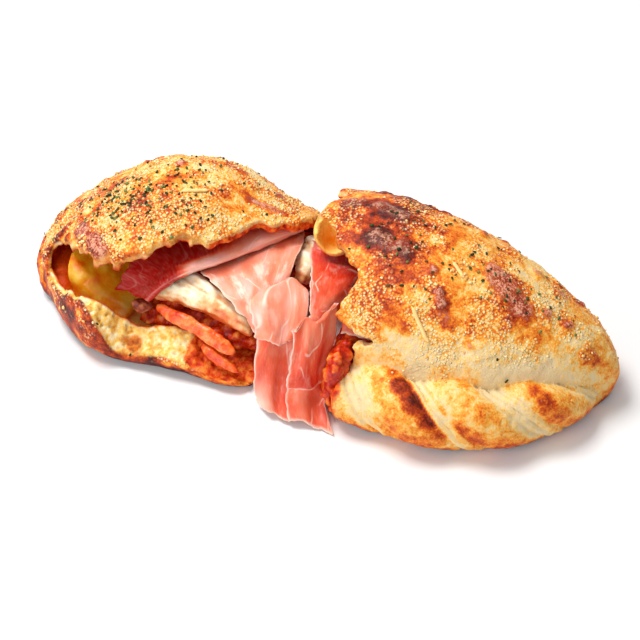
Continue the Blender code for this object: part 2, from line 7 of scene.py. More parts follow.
import math
import random

import bmesh
import bpy
import numpy as np
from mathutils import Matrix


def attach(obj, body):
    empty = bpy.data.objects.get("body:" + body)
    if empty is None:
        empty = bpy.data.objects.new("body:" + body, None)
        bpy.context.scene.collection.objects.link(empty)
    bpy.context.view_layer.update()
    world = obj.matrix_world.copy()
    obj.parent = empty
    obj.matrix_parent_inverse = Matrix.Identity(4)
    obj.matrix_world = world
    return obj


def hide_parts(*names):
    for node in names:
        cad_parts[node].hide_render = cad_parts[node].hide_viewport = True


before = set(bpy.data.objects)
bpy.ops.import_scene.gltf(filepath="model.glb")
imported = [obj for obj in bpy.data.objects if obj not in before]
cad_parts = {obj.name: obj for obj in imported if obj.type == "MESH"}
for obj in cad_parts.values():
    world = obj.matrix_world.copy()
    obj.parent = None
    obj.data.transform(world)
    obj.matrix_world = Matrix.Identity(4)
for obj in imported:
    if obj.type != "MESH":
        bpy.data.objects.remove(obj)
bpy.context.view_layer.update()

import openvdb
from mathutils import Vector, noise

MM = 0.001
ORIGIN_SHIFT = np.array([-0.66, 5.72, 0.0])

# ---- the dough's dimensions, as in the part's source ------------------------------------------

SECTION_Z = 14.0
DOME_POWER = 2.1
BASE_POWER = 3.0
BASE_DEPTH = 22.0
CRUST = 5.0
FLOOR_CRUST = 7.0
LIP_THICKENING = 11.0

# Stations along X: (x, front edge y, back edge y, top z)
RIGHT_STATIONS = [
    (-20, -42, 53, 56),
    (0, -43, 54, 63),
    (20, -43, 55, 67),
    (50, -43, 53, 66),
    (75, -40, 49, 59.5),
    (95, -33, 44, 52.5),
    (115, -21, 34, 42.5),
    (130, -9, 25, 34),
    (142, 2, 17, 28),
]
LEFT_STATIONS = [
    (-137, -30, 4, 26),
    (-130, -36, 10, 33),
    (-118, -46, 22, 42.5),
    (-104, -57, 32, 53.5),
    (-88, -65, 41, 63),
    (-70, -66, 47, 68),
    (-52, -62, 48, 65),
    (-35, -61, 45, 57),
    (-20, -61, 44, 50.5),
    (0, -50, 41, 43),
]
RIGHT_HALF = (RIGHT_STATIONS, 142.0, 16.0, 1)  # stations, tip x, closing length, side of the tip
LEFT_HALF = (LEFT_STATIONS, -137.0, 14.0, -1)
INNER_TIP_BACK = 9.0

# Where the dough tore: (angle round the section in degrees, x). 0 is the back, 90 the top, 180 the front.
RIGHT_TEAR = [
    (-90, 8), (-40, -8), (0, -12), (30, -9), (48, -4), (62, 0), (90, 3), (100, 8), (108, 15), (113, 20),
    (118, 24), (130, 25), (140, 24), (145, 25), (148, 34), (150.5, 44), (153, 42), (156, 34), (161, 32),
    (170, 31), (182, 31), (205, 31), (240, 20), (270, 8),
]
LEFT_TEAR = [(-90, -8), (0, -14), (90, -12), (180, -10), (270, -8)]

# The left half's mouth: its lower lip as (x, outer z, slope of the torn face) and its upper lip as (x, y)
LOWER_LIP = [
    (-122, 18, 0.1), (-114, 18, 0.1), (-106, 22, 0.1), (-97, 26, 0.1), (-88, 28, 0.15), (-84, 25, 0.3),
    (-79, 18, 0.5), (-75, 12, 0.6), (-71, 8, 0.6), (-62, 7, 0.6), (-55, 8, 0.65), (-50, 9, 0.65),
    (-45, 9, 0.6), (-40, 8, 0.5), (-35, 6.5, 0.35), (-28, 6.5, 0.15), (25, 7, 0.1),
]
LIP_Y = -64.0
UPPER_LIP = [
    (-122, -34), (-114, -34), (-108, -38), (-103, -41), (-97, -44), (-89, -47.5), (-81, -49.5),
    (-76, -49.5), (-70, -45), (-64, -42.5), (-58, -39), (-55, -34.5), (-49, -29), (-44, -29),
    (-40, -24.5), (-33, -14.5), (-29, -5), (-24, 0), (-19, 5.5), (-14, 14), (-9, 18), (25, 24),
]

CURL_MIDDLE, CURL_RADII = (5.0, 8.5, 52.0), (10.5, 12.5, 12.5)
CURL_OPENING, CURL_WALL = (0.1, -1.0, 0.35), 3.8

# Rolled edges: (x, y, radius) along the middle of each
RIGHT_ROPE = [
    (31, -45.5, 13.5), (46, -46.5, 14), (65, -46, 14.5), (82, -42.5, 14.5), (100, -34, 14),
    (114, -22, 13), (124, -6, 11.5), (129, 6, 10),
]
LEFT_ROPE = [(-118, -37, 9), (-123, -30, 10), (-127, -21, 11), (-128, -12, 11), (-125, -2, 10), (-118, 7, 8)]
# How far along a rolled edge its strands turn once, and the angle from which they turn
LEFT_TWIST, RIGHT_TWIST = (120.0, 0.6), (66.0, 1.2)
ROPE_LOBE = 0.2
LOBE_BELOW = 0.35

# ---- curves, noise and fields --------------------------------------------------------------------


def through(stations, x, column=1):
    """A smooth curve through the stations' column, held flat beyond its ends."""
    table = np.array(stations, float)
    xs, ys = table[:, 0], table[:, column]
    slopes = np.gradient(ys, xs)
    x = np.clip(x, xs[0], xs[-1])
    i = np.clip(np.searchsorted(xs, x, side="right") - 1, 0, len(xs) - 2)
    width = xs[i + 1] - xs[i]
    t = (x - xs[i]) / width
    bend = (1 - t) * slopes[i] * width * t * (1 - t) - t * slopes[i + 1] * width * t * (1 - t)
    return ys[i] + (ys[i + 1] - ys[i]) * t * t * (3 - 2 * t) + bend


def step(value, low, high):
    """0 below low, 1 above high, smooth between. With low above high it falls instead."""
    t = np.clip((value - low) / (high - low), 0, 1)
    return t * t * (3 - 2 * t)


LATTICE_SIZE = 64
LATTICE = np.random.default_rng(7).uniform(-1, 1, [LATTICE_SIZE] * 3).astype(np.float32)


def smooth_noise(x, y, z, size, seed=0.0):
    """Noise from -1 to 1 whose features are about size millimetres across."""
    shape = np.broadcast(x, y, z).shape
    cells, ways = [], []
    for n, q in enumerate((x, y, z)):
        q = np.asarray(q, np.float32) / size + 31.4 + seed * (7.3 + 2.9 * n)
        cell = np.floor(q)
        way = q - cell
        cells.append(cell.astype(np.int64))
        ways.append(way * way * (3 - 2 * way))
    total = np.zeros(shape, np.float32)
    for corner in range(8):
        bits = [(corner >> n) & 1 for n in range(3)]
        weight = 1.0
        for way, bit in zip(ways, bits):
            weight = weight * (way if bit else 1 - way)
        i, j, k = ((cell + bit) % LATTICE_SIZE for cell, bit in zip(cells, bits))
        total += weight * LATTICE[i, j, k]
    return total


def fractal(x, y, z, size, seed=0.0):
    """Layers of noise, each turned, half the size and half as strong as the one before."""
    total, strength = 0.0, 1.0
    for n in range(3):
        total = total + strength * smooth_noise(x, y, z, size / 2**n, seed + 1.7 * n)
        x, y, z = 0.8 * x - 0.6 * y, 0.6 * x + 0.8 * y, z
        y, z = 0.8 * y - 0.6 * z, 0.6 * y + 0.8 * z
        strength *= 0.5
    return total / 1.5


def cells(points, size, seed=0):
    """For each point, the distance to the nearest of some scattered seeds, and that seed's own number."""
    q = points / size + 50
    base = np.floor(q).astype(np.int64)
    nearest, number = np.full(len(q), 9.0), np.zeros(len(q))
    for shift in np.ndindex(3, 3, 3):
        cell = base + np.array(shift) - 1
        i, j, k = ((cell[:, n] + 5 * seed) % LATTICE_SIZE for n in range(3))
        spot = np.stack([LATTICE[i, j, k], LATTICE[j, k, i], LATTICE[k, i, j]], axis=1) * 0.45 + 0.5
        away = np.linalg.norm(cell + spot - q, axis=1)
        number = np.where(away < nearest, LATTICE[(i + 9) % LATTICE_SIZE, j, k], number)
        nearest = np.minimum(nearest, away)
    return nearest, number


def lattice(low, high, voxel):
    """x, y and z of a block of voxels, ready to be combined."""
    axes = [np.arange(a, b + voxel, voxel, dtype=np.float32) for a, b in zip(low, high)]
    return axes[0][:, None, None], axes[1][None, :, None], axes[2][None, None, :]


def as_distance(field, voxel):
    """Turns a smooth field into rough millimetres from its zero surface."""
    slopes = np.gradient(field, voxel)
    return field / np.maximum(np.sqrt(sum(s * s for s in slopes)), 0.35)


def unit(vectors, least=1e-9):
    """The vectors made one unit long."""
    return vectors / np.maximum(np.linalg.norm(vectors, axis=-1, keepdims=True), least)


def both(a, b, softness=0.0):
    """What two solids share: the larger distance, with a rounded edge of that softness."""
    if not softness:
        return np.maximum(a, b)
    blend = np.maximum(softness - np.abs(a - b), 0) / softness
    return np.maximum(a, b) + blend * blend * softness / 4


def either(a, b, softness=0.0):
    """Two solids joined, with a filled corner of that softness."""
    return -both(-a, -b, softness)


def sample(field, low, voxel, points):
    """The field's values at the points, between its voxels."""
    q = (points - np.array(low)) / voxel
    top = np.array(field.shape) - 2
    cell = np.clip(np.floor(q).astype(np.int64), 0, top)
    way = np.clip(q - cell, 0, 1)
    total = np.zeros(len(points))
    for corner in range(8):
        bits = np.array([(corner >> n) & 1 for n in range(3)])
        weight = np.prod(np.where(bits, way, 1 - way), axis=1)
        i, j, k = (cell + bits).T
        total += weight * field[i, j, k]
    return total


# ---- meshes -----------------------------------------------------------------------------------------


def surface_of(field, low, voxel):
    """Points and quads of the field's zero surface, without any loose scraps."""
    grid = openvdb.FloatGrid(3.0)
    grid.copyFromArray(np.ascontiguousarray(field, np.float32))
    points, quads = grid.convertToQuads(isovalue=0.0)
    points = points * voxel + np.array(low)
    quads = quads.astype(np.int64)
    label = np.arange(len(points))
    while True:
        least = label[quads].min(axis=1)
        new = label.copy()
        for n in range(4):
            np.minimum.at(new, quads[:, n], least)
        new = new[new]
        if (new == label).all():
            break
        label = new
    kinds, counts = np.unique(label, return_counts=True)
    kept = label == kinds[counts.argmax()]
    number = np.cumsum(kept) - 1
    return points[kept], number[quads[kept[quads[:, 0]]]]


def facings(points, faces):
    """Unit normals of the points of a mesh of quads."""
    a, b, c, d = (points[faces[:, n]] for n in range(4))
    across = np.cross(c - a, d - b)
    total = np.zeros_like(points)
    for n in range(4):
        np.add.at(total, faces[:, n], across)
    return unit(total)


def mesh_object(name, points, faces, values=None):
    """A smooth-shaded object from points in millimetres, with named values kept at its points."""
    mesh = bpy.data.meshes.new(name)
    points = (np.asarray(points, float) + ORIGIN_SHIFT) * MM
    faces = np.asarray(faces)
    mesh.vertices.add(len(points))
    mesh.vertices.foreach_set("co", points.ravel())
    mesh.loops.add(faces.size)
    mesh.loops.foreach_set("vertex_index", faces.ravel())
    mesh.polygons.add(len(faces))
    mesh.polygons.foreach_set("loop_start", np.arange(0, faces.size, faces.shape[1]))
    mesh.update(calc_edges=True)
    mesh.validate()
    for key, value in (values or {}).items():
        made = mesh.attributes.new(key, "FLOAT", "POINT")
        made.data.foreach_set("value", np.asarray(value, np.float32))
    mesh.shade_smooth()
    piece = bpy.data.objects.new(name, mesh)
    bpy.context.scene.collection.objects.link(piece)
    return piece


def dress(piece, finish, slot, *nodes):
    """Gives the piece its material and its place in the frame."""
    piece.data.materials.append(finish.material)
    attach(piece, "root")
    if nodes:
        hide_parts(*nodes)


# ---- material nodes ------------------------------------------------------------------------------------


def linear(red, green, blue):
    """A linear colour from the red, green and blue that a screen shows, 0 to 255."""
    shown = (red / 255, green / 255, blue / 255)
    return tuple(((c + 0.055) / 1.055) ** 2.4 if c > 10 / 255 else c / 12.92 for c in shown)


class Finish:
    """A Principled material and short ways to add nodes to it."""

    def __init__(self, name, roughness=0.5, specular=0.5):
        self.material = bpy.data.materials.new(name)
        self.material.use_nodes = True
        self.tree = self.material.node_tree
        self.shader = self.tree.nodes["Principled BSDF"]
        self.place = self.tree.nodes.new("ShaderNodeTexCoord").outputs["Object"]
        self.set("Roughness", roughness)
        self.set("Specular IOR Level", specular)

    def set(self, socket, value):
        self.feed(self.shader.inputs[socket], value)

    def feed(self, socket, value):
        """Links a node's output to the socket, or sets the number or colour on it."""
        if isinstance(value, bpy.types.NodeSocket):
            self.tree.links.new(value, socket)
        elif socket.type == "RGBA":
            socket.default_value = (*value, 1.0)
        else:
            socket.default_value = value

    def soft(self, weight, radius, depth):
        """Light sinks in and comes out again, up to depth millimetres away."""
        self.set("Subsurface Weight", weight)
        self.set("Subsurface Radius", radius)
        self.set("Subsurface Scale", depth * MM)

    def attribute(self, name):
        node = self.tree.nodes.new("ShaderNodeAttribute")
        node.attribute_name = name
        return node.outputs["Fac"]

    def noise(self, size, detail=2.0, warp=0.0, place=None):
        """Noise from 0 to 1 with features about size millimetres across."""
        node = self.tree.nodes.new("ShaderNodeTexNoise")
        self.feed(node.inputs["Vector"], place or self.place)
        settings = dict(Scale=1 / (size * MM), Detail=detail, Roughness=0.55, Distortion=warp)
        for key, value in settings.items():
            node.inputs[key].default_value = value
        return node.outputs["Fac"]

    def granules(self, size):
        """Distance from the middle of granules about size millimetres apart, and a number for each."""
        node = self.tree.nodes.new("ShaderNodeTexVoronoi")
        self.feed(node.inputs["Vector"], self.place)
        node.inputs["Scale"].default_value = 1 / (size * MM)
        split = self.tree.nodes.new("ShaderNodeSeparateColor")
        self.tree.links.new(node.outputs["Color"], split.inputs["Color"])
        return node.outputs["Distance"], split.outputs["Red"]

    def sum(self, kind, a, b):
        node = self.tree.nodes.new("ShaderNodeMath")
        node.operation = kind
        self.feed(node.inputs[0], a)
        self.feed(node.inputs[1], b)
        return node.outputs["Value"]

    def add(self, a, b):
        return self.sum("ADD", a, b)

    def times(self, a, b):
        return self.sum("MULTIPLY", a, b)

    def swing(self, value, strength):
        """Noise from 0 to 1 turned into a shift either way."""
        return self.times(self.sum("SUBTRACT", value, 0.5), strength)

    def ease(self, value, low, high, start=0.0, end=1.0):
        """Start below low, end above high, smooth between."""
        node = self.tree.nodes.new("ShaderNodeMapRange")
        node.interpolation_type = "SMOOTHSTEP"
        for key, part in enumerate((value, low, high, start, end)):
            self.feed(node.inputs[key], part)
        return node.outputs["Result"]

    def ramp(self, value, *stops):
        """A colour read from stops of (place, red, green, blue)."""
        node = self.tree.nodes.new("ShaderNodeValToRGB")
        self.feed(node.inputs["Fac"], value)
        line = node.color_ramp.elements
        while len(line) < len(stops):
            line.new(1.0)
        for element, (at, *colour) in zip(line, stops):
            element.position = at
            element.color = (*linear(*colour), 1.0)
        return node.outputs["Color"]

    def mix(self, share, a, b):
        node = self.tree.nodes.new("ShaderNodeMix")
        node.data_type = "RGBA"
        self.feed(node.inputs["Factor"], share)
        self.feed(node.inputs[6], a)
        self.feed(node.inputs[7], b)
        return node.outputs[2]

    def bump(self, height, depth):
        """Relief of that depth in millimetres, laid over any relief already there."""
        node = self.tree.nodes.new("ShaderNodeBump")
        node.inputs["Strength"].default_value = 1.0
        node.inputs["Distance"].default_value = depth * MM
        self.feed(node.inputs["Height"], height)
        socket = self.shader.inputs["Normal"]
        if socket.links:
            self.tree.links.new(socket.links[0].from_socket, node.inputs["Normal"])
        self.tree.links.new(node.outputs["Normal"], socket)


# ---- baked dough --------------------------------------------------------------------------------------

VOXEL = 0.8
# Opposite corners of the block of voxels round each half, and how far a tear's teeth reach
LEFT_BLOCK = (-142.0, -70.0, -1.6), (-3.0, 57.0, 72.0)
RIGHT_BLOCK = (-22.0, -68.0, -1.6), (146.0, 60.0, 74.0)
TEETH = 5.0
ROPE_SAMPLES = 400
CHUNK = 8000


def dome_at(half, x, y, z):
    """Radial distance outside a half's dome, and the angle round its section in degrees."""
    stations, tip, length, side = half
    front, back, top = (through(stations, x, column) for column in (1, 2, 3))
    left = np.clip((tip - x) * side / length, 0, 1)
    shrink = np.sqrt(np.maximum(1 - (1 - left) ** 2, 1e-6))
    middle = (front + back) / 2
    across, up = y - middle, z - SECTION_Z
    angle = np.arctan2(up, across)
    reach = (back - front) / 2 * shrink
    rise = np.where(up > 0, (top - SECTION_Z) * shrink, BASE_DEPTH * shrink)
    power = np.where(up > 0, DOME_POWER, BASE_POWER)
    cosine, sine = np.abs(np.cos(angle)) + 1e-6, np.abs(np.sin(angle)) + 1e-6
    radius = ((cosine / reach) ** power + (sine / rise) ** power) ** (-1 / power)
    return np.hypot(across, up) - radius, np.degrees(angle) % 360


def on_dome(half, x, degrees, outside=0.0):
    """The point of the dome's surface at x and an angle round the section."""
    angle = math.radians(degrees)
    middle = (through(half[0], x, 1) + through(half[0], x, 2)) / 2
    far = -dome_at(half, x, middle + 1e-3 * math.cos(angle), SECTION_Z + 1e-3 * math.sin(angle))[0] + outside
    return np.array([x, middle + far * math.cos(angle), SECTION_Z + far * math.sin(angle)])


def teeth(degrees, ragged, seed):
    """The same ragged edge round the section as the solid's."""
    around = np.linspace(0, 2 * math.pi, 241)
    wave = [ragged * noise.noise(Vector((a * 4.0, seed, 0.3))) for a in around]
    return np.interp(degrees, np.degrees(around), wave)


def rope_at(path, pitch, turns_from, x, y, z):
    """Distance outside a rolled edge of two twisted strands, and how far each point is up a strand's lobe."""
    table = np.array(path, float)
    along = np.concatenate([[0], np.cumsum(np.hypot(*np.diff(table[:, :2], axis=0).T))])
    s = np.linspace(0, along[-1], ROPE_SAMPLES)
    px, py, pr = (through(np.stack([along, table[:, c]], axis=1), s) for c in (0, 1, 2))
    heading = np.arctan2(np.gradient(py, s), np.gradient(px, s))
    flat_x, flat_y = (np.broadcast_to(q, np.broadcast(x, y).shape).reshape(-1, 1) for q in (x, y))
    nearest = np.concatenate([
        ((flat_x[k : k + CHUNK] - px) ** 2 + (flat_y[k : k + CHUNK] - py) ** 2).argmin(axis=1)
        for k in range(0, len(flat_x), CHUNK)
    ])
    dx, dy = flat_x[:, 0] - px[nearest], flat_y[:, 0] - py[nearest]
    turn = heading[nearest]
    shape = np.broadcast(x, y).shape
    across = (dx * np.sin(turn) - dy * np.cos(turn)).reshape(shape)
    beyond = (dx * np.cos(turn) + dy * np.sin(turn)).reshape(shape)
    radius, place = pr[nearest].reshape(shape), s[nearest].reshape(shape)
    up = z - (radius - 1)
    end = np.minimum(3 * place + 3, along[-1] - place) / radius
    cap = np.sqrt(np.maximum(1 - (1 - np.minimum(end, 1)) ** 2, 0.02))
    psi = np.arctan2(across, up)
    lobes = np.abs(np.cos(psi - turns_from - 2 * math.pi * place / pitch))
    lobe = ROPE_LOBE * (LOBE_BELOW + (1 - LOBE_BELOW) * np.clip(np.cos(psi) + 0.6, 0, 1))
    outline = radius * (1 + lobe * (2 * lobes - 1.2)) * cap
    return np.sqrt(across**2 + up**2 + beyond**2) - outline, lobes


def half_field(half):
    """The voxels of one half: its outside, its hollow and its torn faces, joined into one solid."""
    tip, side = half[1], half[3]
    left = side < 0
    low, high = LEFT_BLOCK if left else RIGHT_BLOCK
    x, y, z = lattice(low, high, VOXEL)
    radial, degrees = dome_at(half, x, y, z)
    relief = 0.9 * smooth_noise(x, y, z, 17.0, side) + 0.45 * smooth_noise(x, y, z, 7.0, 3 + side)
    outer = as_distance(radial, VOXEL) - relief
    inset = CRUST + 0.0 * x
    if left:
        thick = np.exp(-(((degrees - 190) / 28) ** 4))
        inset = inset + LIP_THICKENING * thick * np.clip((x + 92) / 10, 0, 1)
    hollow = as_distance(radial + inset, VOXEL) + 0.7 * smooth_noise(x, y, z, 9.0, 5 + side)
    hollow = both(hollow, (x - tip) * side + INNER_TIP_BACK, 5.0)
    hollow = both(hollow, FLOOR_CRUST - z, 3.0)
    crumb = 1.6 * smooth_noise(x, y, z, 4.5, 8 + side) + 0.8 * smooth_noise(x, y, z, 1.9, 9 + side)
    if left:
        torn = x - through(LEFT_TEAR, (degrees + 90) % 360 - 90) - teeth(degrees, TEETH, 3.1)
        torn = both(-mouth(x, y, z, crumb), torn + crumb, 1.0)
        rope, lobes = rope_at(LEFT_ROPE, *LEFT_TWIST, x, y, z)
    else:
        edge = through(RIGHT_TEAR, (degrees + 90) % 360 - 90) + teeth(degrees, TEETH, 7.7)
        torn = as_distance(edge - x, VOXEL) + crumb
        rope, lobes = rope_at(RIGHT_ROPE, *RIGHT_TWIST, x, y, z)
    rope = rope - 0.6 * smooth_noise(x, y, z, 6.0, 12)
    solid = both(outer, -hollow, 1.5)
    solid = both(solid, torn, 1.2)
    solid = either(solid, rope)
    whole = either(outer, rope)
    if not left:
        ball = ellipsoid(x, y, z, CURL_MIDDLE, CURL_RADII) - 0.7 * relief
        bowl_middle = np.array(CURL_MIDDLE) + 6 * np.array(CURL_OPENING)
        bowl = ellipsoid(x, y, z, bowl_middle, np.array(CURL_RADII) - CURL_WALL) + 0.4 * crumb
        solid = both(either(solid, ball, 2.0), -bowl, 1.0)
        whole = either(whole, ball, 2.0)
        hollow = either(hollow, bowl)
    solid = both(solid, -z, 0.8)
    return low, solid, dict(whole=whole, hollow=hollow, rope=rope, lobes=lobes + 0 * z)


def ellipsoid(x, y, z, middle, radii):
    parts = [(q - m) / r for q, m, r in zip((x, y, z), middle, radii)]
    return (np.sqrt(sum(p * p for p in parts)) - 1) * min(radii)


def mouth(x, y, z, crumb):
    """What is torn away from the left half: negative above the lower lip and in front of the upper lip."""
    places = np.linspace(-130, 30, 321)
    jags = []
    for n in range(2):
        wave = [noise.noise(Vector((p / 5.5, 2.0 + n, 0.5))) for p in places]
        jags.append(np.interp(x, places, np.clip(0.1 * (places + 124), 0, 4) * wave))
    back = through(UPPER_LIP, x) + jags[1]
    slope = through(LOWER_LIP, x, 2)
    bend = np.minimum(-44.0, back - 1)
    low = through(LOWER_LIP, x) + 0.5 * jags[0] + slope * (np.minimum(y, bend) - LIP_Y)
    ragged = crumb * np.clip((x + 124) / 12, 0.2, 1)
    return both(both(low - z - 0.7 * ragged, y - back + ragged, 1.5), -122 - x)


# Blisters, scorched spots and pale bumps: (x, degrees, x, degrees, radius, height, browning) from end to end
RIGHT_SPOTS = [
    (9, 80, 13, 79, 5.0, 1.0, 0.55),
    (22, 79, 34, 83, 5.5, 1.4, 0.62),
    (29, 101, 41, 102, 6.0, 0.5, 0.6),
    (26, 96, 27, 98, 6.0, 0.4, 0.3),
    (81, 92, 97, 106, 6.5, 1.0, 0.6),
    (58, 107, 58, 107, 2.4, 1.5, 0.5),
    (63, 117, 66, 122, 2.8, 1.6, 0.5),
    (66, 120, 66, 128, 6.0, 0.3, 0.3),
    (67, 126, 71, 128, 3.4, 0.6, 0.42),
    (107, 101, 107, 99, 2.6, 1.4, 0.55),
    (116, 100, 117, 98, 2.8, 1.5, 0.55),
    (108, 72, 108, 72, 2.8, 1.2, 0.5),
    (82, 138, 83, 139, 2.0, 0.9, 0.45),
    (54, 139, 54, 139, 3.5, 0.6, 0.35),
    (41, 145, 41, 145, 3.5, 0.4, 0.3),
    (45, 133, 46, 136, 4.0, 0.5, 0.35),
    (68, 62, 68, 62, 2.4, 1.8, 0.6),
    (95, 69, 96, 69, 2.6, 1.6, 0.5),
    (128, 118, 131, 122, 3.5, 0.6, 0.35),
]
LEFT_SPOTS = [
    (-101, 125, -91, 130, 5.5, 0.8, 0.62),
    (-91, 129, -84, 135, 4.5, 0.6, 0.55),
    (-125, 105, -126, 108, 4.0, 1.8, 0.8),
    (-114, 122, -120, 134, 2.0, 1.0, 0.6),
    (-110, 130, -118, 148, 2.0, 1.0, 0.6),
    (-106, 138, -112, 150, 2.2, 0.9, 0.55),
    (-120, 140, -126, 156, 2.4, 1.0, 0.7),
    (-90, 118, -91, 119, 3.2, 1.8, -0.5),
    (-95, 137, -95, 138, 2.6, 1.6, -0.5),
    (-105, 107, -106, 108, 2.8, 1.4, -0.4),
    (-81, 106, -69, 109, 4.5, 0.4, 0.35),
    (-52, 86, -46, 83, 3.0, 0.4, 0.3),
    (-38, 72, -24, 62, 2.6, 0.5, 0.5),
    (-51, 56, -47, 58, 3.4, 0.5, 0.4),
    (-72, 73, -72, 73, 2.8, 2.2, 0.8),
    (-52, 107, -49, 109, 4.0, 0.4, 0.3),
    (-115, 98, -112, 100, 3.4, 0.6, 0.35),
]
# Scorched spots of the rolled edge: (x, y, z, radius, browning)
ROPE_SPOTS = [
    (54, -44, 29, 4.5, 0.55),
    (60, -48, 28, 5.5, 0.9),
    (68, -52, 25, 6.5, 0.95),
    (75, -54, 20, 6.5, 0.9),
    (81, -56, 15, 6.0, 0.6),
    (55, -59, 8, 6.0, 0.5),
    (89, -48, 27, 5.0, 0.35),
    (97, -47, 26, 6.0, 0.4),
    (89, -53, 17, 6.0, 0.6),
    (96, -53, 14, 6.0, 0.62),
    (113, -26, 27, 5.0, 0.55),
    (119, -29, 24, 6.0, 0.62),
    (125, -28, 18, 6.0, 0.6),
    (128, -26, 11, 5.0, 0.5),
    (126, -11, 24, 4.0, 0.55),
    (133, -5, 17, 3.5, 0.35),
    (139, 5, 18, 5.0, 0.95),
]
# Where the torn crumb has browned: (x, y, z, radius)
CRUMB_SPOTS = [(-67, -58, 11, 3.6), (-71, -60, 13, 2.5), (-24, -55, 4, 5.0), (-46, -58, 4, 3.0)]
BLISTER_COUNT = 26


def spotted(points, half, spots):
    """Relief, browning and scorching of the spots at each point of the dough."""
    relief, brown, scorch = (np.zeros(len(points)) for _ in range(3))
    ragged = 1 + 0.35 * fractal(*points.T, 5.0, half[3]) + 0.2 * smooth_noise(*points.T, 1.8, half[3])
    for x0, a0, x1, a1, radius, height, browning in spots:
        start, end = on_dome(half, x0, a0), on_dome(half, x1, a1)
        reach = end - start
        share = np.clip((points - start) @ reach / max(reach @ reach, 1e-6), 0, 1)
        away = np.linalg.norm(points - start - share[:, None] * reach, axis=1) / radius * ragged
        relief += height * np.exp(-((away * 1.1) ** 2)) * step(np.abs(browning), 0, 0.3)
        brown += 0.68 * browning * step(away, 1.8, 0.3)
        scorch = np.maximum(scorch, step(browning, 0.25, 0.6) * step(away, 1.15, 0.35))
    return relief, brown, scorch


def back_spots(low, high):
    """Blisters over the back of a half from x low to x high, spread by a seeded rule."""
    draw = random.Random(3)
    spots = []
    for n in range(BLISTER_COUNT):
        x, degrees = low + (high - low) * (n + draw.random()) / BLISTER_COUNT, draw.uniform(5, 62)
        radius = draw.choice((2.2, 2.6, 3.2, 5.0))
        spots.append((x, degrees, x + draw.uniform(-4, 4), degrees + draw.uniform(-4, 4), radius,
                      draw.uniform(0.5, 1.5), draw.uniform(0.25, 0.55)))
    return spots


